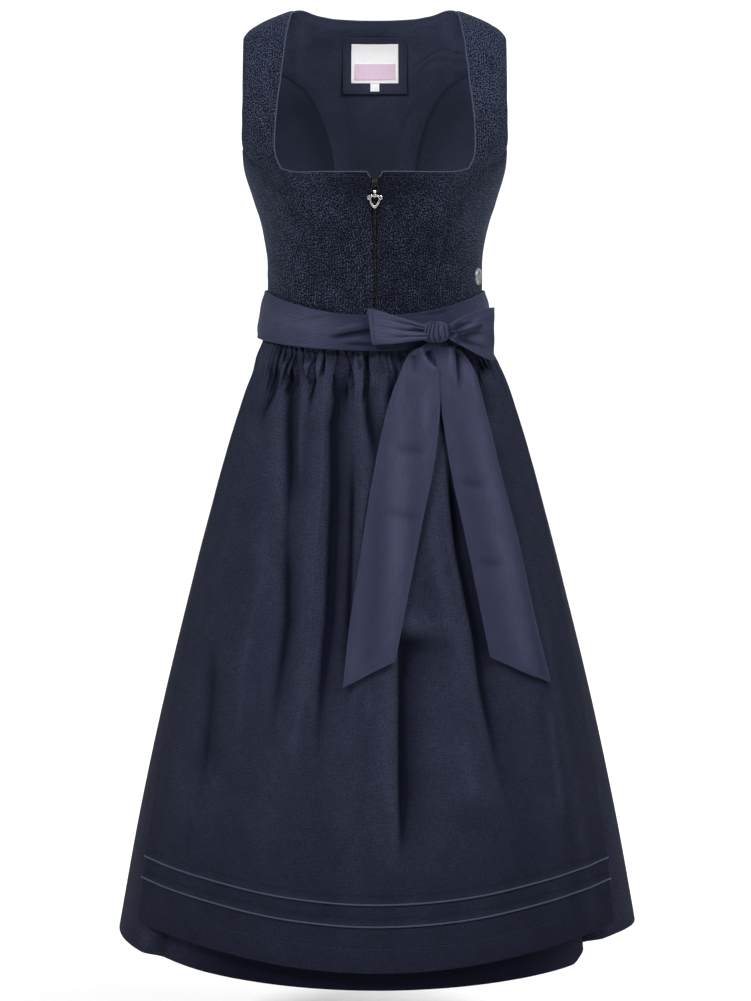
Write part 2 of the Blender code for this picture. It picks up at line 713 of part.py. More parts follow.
def make_bodice(group, outer_finish, lining_finish):
    """The outer panels, and the lining that shows inside the neck."""
    inside = -(BODICE_WALL + LINING_GAP)
    for side, word in ((1, "left"), (-1, "right")):
        a, b, present = either_side(side, *front_grid())
        cloth(f"front_{word}", bodice, a, b, BODICE_WALL, outer_finish, group, present=present)
        a, b, _ = either_side(side, *side_front_grid())
        cloth(f"side_front_{word}", bodice, a, b, BODICE_WALL, outer_finish, group)
        a, b, _ = either_side(side, *side_back_grid())
        cloth(f"side_back_{word}", bodice, a, b, BODICE_WALL, outer_finish, group)
        cloth(f"lining_side_back_{word}", bodice, a, b, LINING_WALL, lining_finish, group, inside)
    a, b = back_grid()
    cloth("back", bodice, a, b, BODICE_WALL, outer_finish, group)
    return cloth("lining_back", bodice, a, b, LINING_WALL, lining_finish, group, inside)


def make_labels(group, lining, patch_finish, label_finish):
    """A cloth patch under the nape, with a blank label and a blank size tab on it."""
    patch = None
    for name, half, low, high, cells, material in (
            ("label_patch", PATCH_HALF, PATCH_BOTTOM, PATCH_TOP, 6, patch_finish),
            ("label", LABEL_HALF, LABEL_BOTTOM, LABEL_TOP, 5, label_finish),
            ("size_tab", SIZE_TAB_HALF, SIZE_TAB_BOTTOM, LABEL_BOTTOM - SEAM_GAP, 1, label_finish)):
        x, height = np.meshgrid(np.linspace(half, -half, cells + 1), np.linspace(low, high, cells + 1))
        angle = back_angle(x, height)
        inside = bodice(angle, height) - facing(bodice, angle, height) * 0.006
        back, normals = seat(inside, patch or lining, LABEL_GAP)
        mesh = walled_mesh(name, back, back + normals * LABEL_WALL, np.ones((cells, cells), bool))
        made = add(name, mesh, material, group)
        patch = patch or made


def make_zip(group, tape_finish, chain_finish):
    """The tape behind the front's edges, and the closed chain that shows between them."""
    heights = FRONT["height"][:NECK_ROW - 1]
    heights = np.concatenate([[waist_seam(0.0) + SEAM_GAP], heights[1:], [ZIP_TOP]])
    chain_out = -(BODICE_WALL + ZIP_CHAIN_GAP)
    tape_out = chain_out - ZIP_CHAIN_WALL - SEAM_GAP
    for name, half, columns, wall, out, material in (
            ("zip_tape", ZIP_TAPE_HALF, 3, LABEL_WALL, tape_out, tape_finish),
            ("zip_chain", ZIP_CHAIN_HALF, 2, ZIP_CHAIN_WALL, chain_out, chain_finish)):
        x, height = np.meshgrid(np.linspace(-half, half, columns), heights)
        cloth(name, bodice, front_angle(x, height), height, wall, material, group, out)


def cord(name, points, radius, material, group, closed=False, sides=1):
    """A round cord or wire through points, with filled ends or closed on itself."""
    data = bpy.data.curves.new(name, "CURVE")
    data.dimensions = "3D"
    data.bevel_depth, data.bevel_resolution, data.use_fill_caps = radius, sides, not closed
    run = data.splines.new("POLY")
    run.points.add(len(points) - 1)
    run.points.foreach_set("co", np.column_stack([points, np.ones(len(points))]).ravel())
    run.use_cyclic_u = closed
    return add(name, data, material, group)


def make_neck_piping(group, material):
    """A cord along each half of the front neck, from the notch at the zip to the shoulder seam."""
    angle, height, _ = front_grid()
    across_front = [(NECK_ROW, column) for column in range(5)]
    up_strap = [(row, 4) for row in range(NECK_ROW + 1, len(angle))]
    rows, columns = np.array([(NECK_ROW - 1, 0), *across_front, *up_strap]).T
    at, level = angle[rows, columns], height[rows, columns]
    edge, normal = bodice(at, level), facing(bodice, at, level)
    edge -= normal * BODICE_WALL / 2
    edge[0] = between(edge[0], edge[1], NOTCH_PIPING_START)
    along = np.diff(edge, axis=0)
    along /= np.linalg.norm(along, axis=1, keepdims=True)
    before, after = np.vstack([along[:1], along]), np.vstack([along, along[-1:]])
    off, next_off = np.cross(normal, before), np.cross(normal, after)
    mitre = (off + next_off) / (1 + np.sum(off * next_off, axis=1, keepdims=True))
    points = edge + mitre * (CORD_RADIUS + SEAM_GAP)
    for side, word in ((1, "left"), (-1, "right")):
        cord(f"neck_piping_{word}", points * (side, 1, 1), CORD_RADIUS, material, group)


def make_skirt(group, material):
    """Two gathered panels that meet at the side seams."""
    step = math.pi / SKIRT_GATHERS
    for name, first in (("skirt_front", -math.pi / 2), ("skirt_back", math.pi / 2)):
        angle = first + step * np.arange(SKIRT_GATHERS + 1)
        middle = np.array(SKIRT_ROWS)[:, None] + 0 * angle
        height = np.vstack([skirt_hem(angle), middle, waist_seam(angle) - SEAM_GAP])
        angle = pulled_in(skirt, np.tile(angle, (len(height), 1)), height, SEAM_GAP)
        cloth(name, skirt, angle, height, SKIRT_WALL, material, group)


def make_apron(group, material, cord_finish):
    """The gathered panel, and the cords of its two piped tucks."""
    share = np.arange(2 * APRON_GATHERS + 1) / (2 * APRON_GATHERS)
    low = apron_hem(apron_angle(share, APRON_HEM))
    tucks = [low + above for above in sorted(TUCKS_ABOVE_HEM.values())]
    top_angle = apron_angle(share, BAND_BOTTOM)
    top = BAND_BOTTOM - BAND_BOTTOM_DIP * front_dip(top_angle) + APRON_UNDER_BAND
    first_row = BAND_BOTTOM - BAND_BOTTOM_DIP * front_dip(top_angle) - 0.002
    middle = np.array(APRON_ROWS[:-1])[:, None] + 0 * share
    height = np.vstack([low, *tucks, middle, first_row, top])
    cloth("apron", apron, np.tile(share, (len(height), 1)), height, APRON_WALL, material, group)
    for word, above in TUCKS_ABOVE_HEM.items():
        height = low + above
        points = apron(share, height) + facing(apron, share, height) * (CORD_RADIUS + SEAM_GAP)
        cord(f"apron_piping_{word}", points, CORD_RADIUS, cord_finish, group)


def make_waistband(group, material):
    """The apron's band round the front, and its ties round the back."""
    shares = BAND["share"]
    for name, first, last, count in (("waistband_front", -95, 95, 25), ("waistband_back", 95, 265, 19)):
        angle, share = np.meshgrid(np.radians(np.linspace(first, last, count)), shares)
        cloth(name, band, pulled_in(band, angle, share, SEAM_GAP), share, RIBBON_WALL, material, group)


def make_bow(group, material):
    """A knot, two loops and two ribbon ends."""
    shape = bmesh.new()
    bmesh.ops.create_uvsphere(shape, u_segments=16, v_segments=10, radius=1)
    for vert in shape.verts:
        vert.co = Vector([math.copysign(abs(c) ** KNOT_SQUARE, c) for c in vert.co])
    bmesh.ops.scale(shape, vec=KNOT_HALF, verts=shape.verts)
    mesh = bpy.data.meshes.new("bow_knot")
    shape.to_mesh(mesh)
    shape.free()
    at, low = np.array(KNOT_ANGLE), BAND_BOTTOM - BAND_BOTTOM_DIP * front_dip(KNOT_ANGLE)
    share = np.array((KNOT_Z - low) / (BAND_TOP - BAND_TOP_DIP * front_dip(KNOT_ANGLE) - low))
    normal = facing(band, at, share)
    normal[2] = 0
    normal /= np.linalg.norm(normal)
    centre = band(at, share) + normal * (KNOT_HALF[1] + 2 * SEAM_GAP)
    add("bow_knot", mesh, material, group, centre, (0, 0, math.atan2(normal[0], -normal[1])))
    for word, path, edges in (("right", LOOP_RIGHT, TAIL_RIGHT), ("left", LOOP_LEFT, TAIL_LEFT)):
        row, across = np.meshgrid(np.arange(len(path["x"]), dtype=float), (0, 0.5, 1))
        cloth(f"bow_loop_{word}", loop(path), row, across, RIBBON_WALL, material, group, RIBBON_WALL / 2)
        across, row = np.meshgrid(np.linspace(0, 1, 8), np.arange(len(edges["right_x"]), dtype=float))
        cloth(f"bow_tail_{word}", tail(edges), across, row, RIBBON_WALL, material, group)


def joined(name, target, tool):
    """Make one body of two overlapping objects, and remove the second."""
    cut = target.modifiers.new("join", "BOOLEAN")
    cut.operation, cut.solver, cut.object = "UNION", "EXACT", tool
    mesh = bpy.data.meshes.new_from_object(target.evaluated_get(bpy.context.evaluated_depsgraph_get()))
    target.modifiers.clear()
    target.data = mesh
    mesh.name = name
    bpy.data.objects.remove(tool)
    return target


def as_mesh(piece, group):
    """Turn a curve object into a mesh object with welded caps."""
    bpy.context.view_layer.update()
    mesh = bpy.data.meshes.new_from_object(piece.evaluated_get(bpy.context.evaluated_depsgraph_get()))
    shape = bmesh.new()
    shape.from_mesh(mesh)
    bmesh.ops.remove_doubles(shape, verts=shape.verts, dist=1e-6)
    shape.to_mesh(mesh)
    shape.free()
    name, material, matrix = piece.name, piece.data.materials[0], piece.matrix_world.copy()
    bpy.data.objects.remove(piece)
    solid = add(name, mesh, material, group)
    solid.matrix_world = matrix
    return solid


def make_slider(group, material):
    """The slider's plate, with the bridge that holds the pull."""
    face = float(bodice(np.array(0.0), np.array(SLIDER_Z))[1])
    bpy.ops.mesh.primitive_cube_add(size=1)
    slider = bpy.context.active_object
    slider.name = "zip_slider"
    centre = Vector((0, face - SLIDER_PROUD + SLIDER_THICK / 2, SLIDER_Z))
    size = Matrix.Diagonal((2 * SLIDER_HALF_X, SLIDER_THICK, 2 * SLIDER_HALF_Z, 1))
    slider.data.transform(Matrix.Translation(centre) @ size)
    slider.data.materials.append(material)
    for owner in list(slider.users_collection):
        owner.objects.unlink(slider)
    group.objects.link(slider)
    foot, crown = face + SLIDER_THICK / 3, face - BRIDGE_PROUD
    arch = ((foot, BRIDGE_TOP), (crown, BRIDGE_TOP), (crown, BRIDGE_BOTTOM), (foot, BRIDGE_BOTTOM))
    points = np.array([(0, y, z) for y, z in arch])
    bridge = as_mesh(cord("zip_bridge", points, BRIDGE_WIRE, material, group), group)
    joined("zip_slider", slider, bridge)
    return face


def pull_outline():
    """The pull's wire about its hinge: a frame that widens downwards, with round corners."""
    corners = [(-PULL_TOP_HALF, 0), (PULL_TOP_HALF, 0),
               (PULL_BOTTOM_HALF, -PULL_LENGTH), (-PULL_BOTTOM_HALF, -PULL_LENGTH)]
    points = []
    for i, corner in enumerate(corners):
        corner, before, after = (Vector(corners[j % 4]) for j in (i, i - 1, i + 1))
        start = corner + (before - corner).normalized() * PULL_CORNER
        end = corner + (after - corner).normalized() * PULL_CORNER
        for t in (0, 0.5, 1):
            points.append(start * (1 - t) ** 2 + corner * 2 * t * (1 - t) + end * t * t)
    return np.array([(p.x, 0, p.y) for p in points])


def make_pull(group, pull_finish, charm_finish, face):
    """The pull on the slider's bridge, and the heart charm on the pull's bottom bar."""
    hinge = Vector((0, face - PULL_PROUD, PULL_Z))
    pull = cord("zip_pull", pull_outline(), PULL_WIRE, pull_finish, group, closed=True)
    pull.location = hinge
    bar = hinge - Vector((0, 0, PULL_LENGTH))
    charm = bpy.data.curves.new("zip_charm", "CURVE")
    charm.dimensions, charm.fill_mode, charm.extrude = "2D", "BOTH", CHARM_THICK / 2
    for half in (CHARM_EDGE, CHARM_HOLE):
        left = [(-x, z) for x, z in reversed(half) if x > 0]
        ring = np.array([*half, *left]) / 1000
        run = charm.splines.new("POLY")
        run.points.add(len(ring) - 1)
        run.points.foreach_set("co", np.column_stack([ring, np.zeros(len(ring)), np.ones(len(ring))]).ravel())
        run.use_cyclic_u = True
    plate = as_mesh(add("zip_charm", charm, charm_finish, group, bar, (math.pi / 2, 0, 0)), group)
    shape = bmesh.new()
    ring = [shape.verts.new(co) for co in ((-BAIL_HALF, 0, BAIL_INNER), (BAIL_HALF, 0, BAIL_INNER),
                                           (BAIL_HALF, 0, BAIL_OUTER), (-BAIL_HALF, 0, BAIL_OUTER))]
    edges = [shape.edges.new((ring[i], ring[(i + 1) % 4])) for i in range(4)]
    bmesh.ops.spin(shape, geom=ring + edges, axis=(1, 0, 0), angle=2 * math.pi, steps=16, use_merge=True)
    bmesh.ops.recalc_face_normals(shape, faces=shape.faces)
    mesh = bpy.data.meshes.new("zip_bail")
    shape.to_mesh(mesh)
    shape.free()
    bail = add("zip_bail", mesh, charm_finish, group, bar)
    bpy.context.view_layer.update()
    joined("zip_charm", plate, bail)


def make_badge(group, cloth_under, material):
    """A round domed badge, turned about its own axis and set flat on the side front."""
    mesh = bpy.data.meshes.new("badge")
    rim = [(radius, 0, out) for radius, out in zip(*BADGE_PROFILE.values())]
    mesh.from_pydata(rim, [(i, i + 1) for i in range(len(rim) - 1)], [])
    badge = add("badge", mesh, material, group)
    turned = badge.modifiers.new("turn", "SCREW")
    turned.steps = turned.render_steps = 20
    turned.use_merge_vertices, turned.merge_threshold = True, 0.00005
    point = bodice(np.array(BADGE_ANGLE), np.array(BADGE_HEIGHT))
    place, normal = seat(point, cloth_under, SEAM_GAP)
    badge.location = Vector(place)
    badge.rotation_euler = Vector(normal).to_track_quat("Z", "Y").to_euler()


def build():
    for old in list(bpy.data.objects):
        bpy.data.objects.remove(old)
    garment = collection("dirndl")
    jacquard = finish("bodice_cloth", (0.020, 0.028, 0.060), 0.85)
    lining = finish("lining_cloth", (0.016, 0.019, 0.040), 0.60)
    skirting = finish("skirt_cloth", (0.022, 0.026, 0.070), 0.70)
    aproning = finish("apron_cloth", (0.012, 0.015, 0.038), 0.75)
    ribbon = finish("ribbon_cloth", (0.040, 0.045, 0.105), 0.60)
    piping = finish("piping", (0.100, 0.130, 0.240), 0.50)
    zip_black = finish("zip_black", (0.008, 0.008, 0.010), 0.50)
    silver = finish("silver", (0.800, 0.800, 0.800), 0.25, 1.0)
    label = finish("label", (0.850, 0.840, 0.830), 0.70)
    lining_back = make_bodice(garment, jacquard, lining)
    make_labels(garment, lining_back, aproning, label)
    make_zip(garment, zip_black, zip_black)
    make_neck_piping(garment, piping)
    make_skirt(garment, skirting)
    make_apron(garment, aproning, piping)
    make_waistband(garment, ribbon)
    make_bow(garment, ribbon)
    face = make_slider(garment, zip_black)
    make_pull(garment, zip_black, silver, face)
    make_badge(garment, bpy.data.objects["side_front_left"], silver)


build()
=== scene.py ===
"""Dirndl scene: fine cloth, cords, zip, badge and finishes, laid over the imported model.

Metres, +Z up, front towards -Y, the wearer's left towards +X. The pieces repeat most of the part's own
tables and formulas, so they lie where their solids do. What differs is finer folds and creases, the
skirt's tuck under the apron, and its hitched hem, which is a little further round.
"""

import logging
import math
from collections.abc import Callable, Sequence
from dataclasses import dataclass, field
from enum import Enum
from functools import partial

import bpy
import numpy as np
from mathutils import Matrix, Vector


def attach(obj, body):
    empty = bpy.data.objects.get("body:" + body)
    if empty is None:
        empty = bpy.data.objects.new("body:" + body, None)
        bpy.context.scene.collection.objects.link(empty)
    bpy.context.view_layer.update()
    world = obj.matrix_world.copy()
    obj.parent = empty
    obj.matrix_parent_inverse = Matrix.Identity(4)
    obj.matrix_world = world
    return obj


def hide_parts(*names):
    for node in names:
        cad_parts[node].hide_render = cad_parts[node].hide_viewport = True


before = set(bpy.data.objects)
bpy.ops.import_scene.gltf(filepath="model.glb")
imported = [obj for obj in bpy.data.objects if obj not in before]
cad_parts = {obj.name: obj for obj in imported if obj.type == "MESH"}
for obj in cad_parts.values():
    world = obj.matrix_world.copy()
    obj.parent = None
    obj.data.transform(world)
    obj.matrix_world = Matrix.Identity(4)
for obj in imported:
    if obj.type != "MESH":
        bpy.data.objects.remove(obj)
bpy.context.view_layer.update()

Array = np.ndarray
Object = bpy.types.Object
Table = dict[str, Array]
Pair, Triple = tuple[float, float], tuple[float, float, float]
Surface = Callable[[Array, Array], Array]
log = logging.getLogger("dirndl")
RUMPLE_GRID = 97
CLOSE_STEPS = (-0.002, -0.0011, -0.0005, 0, 0.0005, 0.0011, 0.002)


# Numbers and curves

def table(columns: str, rows: Sequence[Sequence[float]]) -> Table:
    """Split rows in thousandths, mostly millimetres, into an array for each of the columns named."""
    return dict(zip(columns.split(), np.array(rows, float).T / 1000))


def tabled(columns: str, rows: Sequence[Sequence[float]]) -> Table:
    """Make a dataclass field whose value is such a table."""
    return field(default_factory=lambda: table(columns, rows))


def smooth(at: Array | float, known: Array, values: Array) -> Array:
    """Read a smooth curve through known values (cubic pieces with central slopes).

    Args:
        at: Where to read it.
        known: Where the values are known, in rising order.
        values: The known values.

    Returns:
        The curve's values. Its ends hold beyond them.
    """
    at = np.clip(at, known[0], known[-1])
    slope = np.gradient(values, known)
    i = np.clip(np.searchsorted(known, at, side="right") - 1, 0, len(known) - 2)
    step = known[i + 1] - known[i]
    t = (at - known[i]) / step
    return (values[i] * (1 + 2 * t) * (1 - t) ** 2 + slope[i] * step * t * (1 - t) ** 2
            + values[i + 1] * t * t * (3 - 2 * t) + slope[i + 1] * step * t * t * (t - 1))


def ease(value: Array | float, low: float, high: float) -> Array:
    """Rise smoothly from 0 below `low` to 1 above `high`: t t (3 - 2 t)."""
    t = np.clip((value - low) / (high - low), 0, 1)
    return t * t * (3 - 2 * t)


def between(a: Array | float, b: Array | float, share: Array | float) -> Array:
    """Blend from `a` (share 0) to `b` (share 1)."""
    return a + (b - a) * share


def bump(at: Array, start: float, full: float, end: float) -> Array:
    """Rise from `start` to 1 at `full`, and fall to 0 at `end`."""
    return ease(at, start, full) * (1 - ease(at, full, end))


def bell(off: Array, width: float) -> Array:
    """A rounded bump, exp(-(off / width)^2)."""
    return np.exp(-(off / width) ** 2)


def by_height(height: Array, top: float, low: float, first: float, last: float) -> Array:
    """A value that goes from top to low between two depths below the shoulders."""
    return between(top, low, ease(-height, first, last))


def rumple(u: Array, v: Array, size: Pair, seed: int) -> Array:
    """Smooth random hills and hollows between -1 and 1, from a seeded grid of heights.

    Args:
        u: Place across the cloth.
        v: Place along the cloth.
        size: How far apart the hills are, across and along.
        seed: The seed.

    Returns:
        The height at each place.
    """
    count = RUMPLE_GRID
    heights = np.random.default_rng(seed).uniform(-1, 1, (count, count))
    x, y = np.broadcast_arrays(u / size[0] + 31.7, v / size[1] + 17.3)
    i, j = np.floor(x).astype(int), np.floor(y).astype(int)
    s, t = ease(x - i, 0, 1), ease(y - j, 0, 1)
    i, j, i1, j1 = i % count, j % count, (i + 1) % count, (j + 1) % count
    near, far = between(heights[i, j], heights[i1, j], s), between(heights[i, j1], heights[i1, j1], s)
    return between(near, far, t)


def even(first: float, last: float, cell: float, tight: Sequence[float] = ()) -> Array:
    """Values from first to last about a cell apart, with closer ones round each tight place.

    Args:
        first: The first value.
        last: The last value.
        cell: The usual step.
        tight: Places that need closer values.

    Returns:
        The values, rising.
    """
    plain = np.linspace(first, last, max(2, round((last - first) / cell) + 1))
    close = [place + off for place in tight for off in CLOSE_STEPS]
    close = [value for value in close if first < value < last]
    keep = [value for value in plain[1:-1] if all(abs(value - c) > 0.0007 for c in close)]
    return np.unique(np.array([first, last, *close, *keep]))


def refine(coarse: Array, factor: int) -> Array:
    """Put `factor` smooth steps between neighbours of a grid, both ways."""
    for _ in range(2):
        last = coarse.shape[1] - 1
        at, known = np.linspace(0, last, last * factor + 1), np.arange(last + 1, dtype=float)
        coarse = np.stack([smooth(at, known, row) for row in coarse]).T
    return coarse


def facing(surface: Surface, a: Array, b: Array, step: float = 2e-5) -> Array:
    """Find a surface's unit normals from its slopes to the right (a) and up (b)."""
    right, up = surface(a + step, b) - surface(a - step, b), surface(a, b + step) - surface(a, b - step)
    normal = np.cross(right, up)
    return normal / np.linalg.norm(normal, axis=-1, keepdims=True)


def unit(vectors: Array) -> Array:
    """Scale vectors to length 1."""
    return vectors / np.maximum(np.linalg.norm(vectors, axis=-1, keepdims=True), 1e-12)


def lengths_along(points: Array, axis: int = 0) -> Array:
    """Measure how far each point of a path, or of a grid's rows or columns, is from its first."""
    steps = np.linalg.norm(np.diff(points, axis=axis), axis=-1)
    return np.cumsum(np.insert(steps, 0, 0.0, axis), axis)


# The dress's own surfaces

LINING_GAP = 0.0005
BODICE_WALL, LINING_WALL, SKIRT_WALL, APRON_WALL, RIBBON_WALL = 0.0016, 0.001, 0.0014, 0.0012, 0.0014
WAIST_SEAM, SKIRT_HEM, APRON_HEM = -0.345, -1.101, -1.068
BAND_LOW, BAND_DIP = -0.3835, 0.011
CORD_RADIUS, THREAD_RADIUS, STITCH, STITCH_GAP = 0.0011, 0.00028, 0.0026, 0.0009


def front_dip(angle: Array) -> Array:
    """1 at the centre front, falling to 0 at the side seams: cos squared."""
    return np.clip(np.cos(angle), 0, None) ** 2


def oval(angle: Array, half_width: Array, front: Array, back: Array,
         square: Array | float) -> tuple[Array, Array]:
    """Trace a plan outline's x and y, whose angle is 0 at the front, with its corners pushed out."""
    s, c = np.sin(angle), np.cos(angle)
    return half_width * s * (1 + square * c * c), -np.where(c > 0, front, back) * c * (1 + square * s * s)


def turn_for(share: Array, square: Array | float) -> Array:
    """Find how far round, up to a quarter turn, an oval reaches this share of its half width."""
    share = np.clip(share, 0, 1)
    turn = np.arcsin(share)
    for _ in range(20):
        turn = np.arcsin(np.clip(share / (1 + square * np.cos(turn) ** 2), 0, 1))
    return turn


@dataclass
class BodiceForm:
    """The bodice's outer face, over a plan angle and a height below a level shoulder."""

    cup_rise: float = 0.017
    cup_x: float = 0.077
    cup_height: float = -0.224
    cup_half: float = 0.046
    neck_x: float = 0.0985
    armhole_x: float = 0.156
    nape_height: float = -0.04
    nape_rise: float = 0.037
    shoulder_fade: Pair = (-0.16, -0.05)
    sections: Table = tabled("height half_width front back square", (
        (-380, 130, 110, 88, 80), (-340, 128.5, 108.5, 86, 80), (-315, 128, 108.5, 85.5, 90),
        (-290, 128.4, 109.5, 87, 100), (-267, 131.8, 111.5, 90, 100), (-243, 137, 113.5, 94.5, 110),
        (-220, 144.5, 115.5, 98.5, 120), (-200, 151, 115.5, 102, 120), (-180, 157.5, 113, 104.5, 120),
        (-150, 166, 103, 106, 120), (-110, 172, 86, 102, 120), (-70, 172, 65.5, 86, 120),
        (-40, 171, 48, 60, 120), (-15, 169, 29, 35, 120), (-4, 168, 15, 18, 120), (0, 168, 0, 0, 120)))
    shoulder: Table = tabled("x drop", (
        (50, 0), (70, -2.4), (88, -4), (98.5, -2.6), (116.5, 3.6), (138, 13.6), (150, 21.9), (157, 31),
        (170, 52)))

    def size(self, name: str, height: Array) -> Array:
        """Read one of the sections' sizes against the root of the height, because a shoulder is round."""
        known = -np.sqrt(-self.sections["height"])
        return smooth(-np.sqrt(np.clip(-height, 0, None)), known, self.sections[name])

    def __call__(self, angle: Array, height: Array) -> Array:
        """Place points: an oval at each height, lowered to the shoulder line, with the bust's fullness.

        Args:
            angle: The plan angle.
            height: The height, as if the shoulders were level.

        Returns:
            The points.
        """
        sizes = (self.size(name, height) for name in ("half_width", "front", "back", "square"))
        x, y = oval(angle, *sizes)
        across = np.abs(x)
        nape = np.clip(1 - (across / self.neck_x) ** 2, 0, None) * (np.cos(angle) < 0)
        drop = smooth(across, self.shoulder["x"], self.shoulder["drop"])
        z = height + (self.nape_rise * nape - drop) * ease(height, *self.shoulder_fade)
        cup = bell(across - self.cup_x, self.cup_half) * bell(height - self.cup_height, self.cup_half)
        return np.stack([x, y - self.cup_rise * cup * ease(np.cos(angle), 0, 0.4), z], -1)

    def front(self, x: Array, height: Array) -> Array:
        """Find the angle at an x on the front."""
        turn = turn_for(np.abs(x) / self.size("half_width", height), self.size("square", height))
        return np.sign(x) * turn

    def back(self, x: Array, height: Array) -> Array:
        """Find the angle at an x on the back."""
        return math.pi - self.front(x, height)


BODICE = BodiceForm()


def waist_seam(angle: Array) -> Array:
    """The height of the seam between bodice and skirt."""
    return WAIST_SEAM - 0.022 * front_dip(angle)


def folds(ridges: Table, angle: Array, height: Array) -> Array:
    """How far long ridges stand out: a bell across each and half a sine down it.

    Args:
        ridges: Each ridge's angles at waist and hem and half width, in degrees, its top, bottom and rise.
        angle: The plan angle.
        height: The height.

    Returns:
        The sum of the ridges.
    """
    rise = np.zeros(np.broadcast(angle, height).shape)
    down = np.clip((WAIST_SEAM - height) / (WAIST_SEAM - SKIRT_HEM), 0, 1)
    for waist, hem, half_width, top, bottom, peak in zip(*ridges.values()):
        off = (np.degrees(angle) / 1000 - between(waist, hem, down)) / half_width
        run = np.clip((top - height) / (top - bottom), 0, 1)
        rise = rise + peak * np.exp(-off ** 2) * np.sin(math.pi * run ** 0.8)
    return rise


@dataclass(frozen=True)
class Crease:
    """A ridge, or a valley where its rise is below 0, along a line of x and z by turns, in millimetres.

    Its profile is rise * exp(-(distance / width)^1.4), with one width on each side, and it fades out
    over a share of its length at either end.
    """

    line: tuple[float, ...]
    rise: float
    sides: Pair
    fades: Pair = (0.0, 0.5)

    def __call__(self, points: Array) -> Array:
        """Work out its height at points of a cloth.

        Args:
            points: The points.

        Returns:
            The heights, in metres.
        """
        line = np.array(self.line).reshape(-1, 2) / 1000
        lengths = np.linalg.norm(np.diff(line, axis=0), axis=1)
        place = points[..., [0, 2]]
        best = np.full(place.shape[:-1], np.inf)
        side, along = np.zeros(best.shape), np.zeros(best.shape)
        for k, length in enumerate(lengths):
            step = (line[k + 1] - line[k]) / length
            run = np.clip((place - line[k]) @ step, 0, length)
            far = place - line[k] - run[..., None] * step
            distance = np.linalg.norm(far, axis=-1)
            nearer = distance < best
            side = np.where(nearer, step[0] * far[..., 1] - step[1] * far[..., 0], side)
            along = np.where(nearer, lengths[:k].sum() + run, along)
            best = np.minimum(best, distance)
        share = along / lengths.sum()
        width = np.where(side < 0, *self.sides) / 1000
        fade = ease(share, -1e-6, self.fades[0]) * (1 - ease(share, 1 - self.fades[1], 1 + 1e-6))
        return self.rise / 1000 * np.exp(-(best / width) ** 1.4) * fade


def creases(*rows: tuple) -> tuple[Crease, ...]:
    """Make creases from rows of a line, a rise, the widths of both sides and, at times, the fades."""
    return tuple(Crease(*row) for row in rows)


def creased(lines: Sequence[Crease], points: Array) -> Array:
    """Add up several creases."""
    return sum(crease(points) for crease in lines)


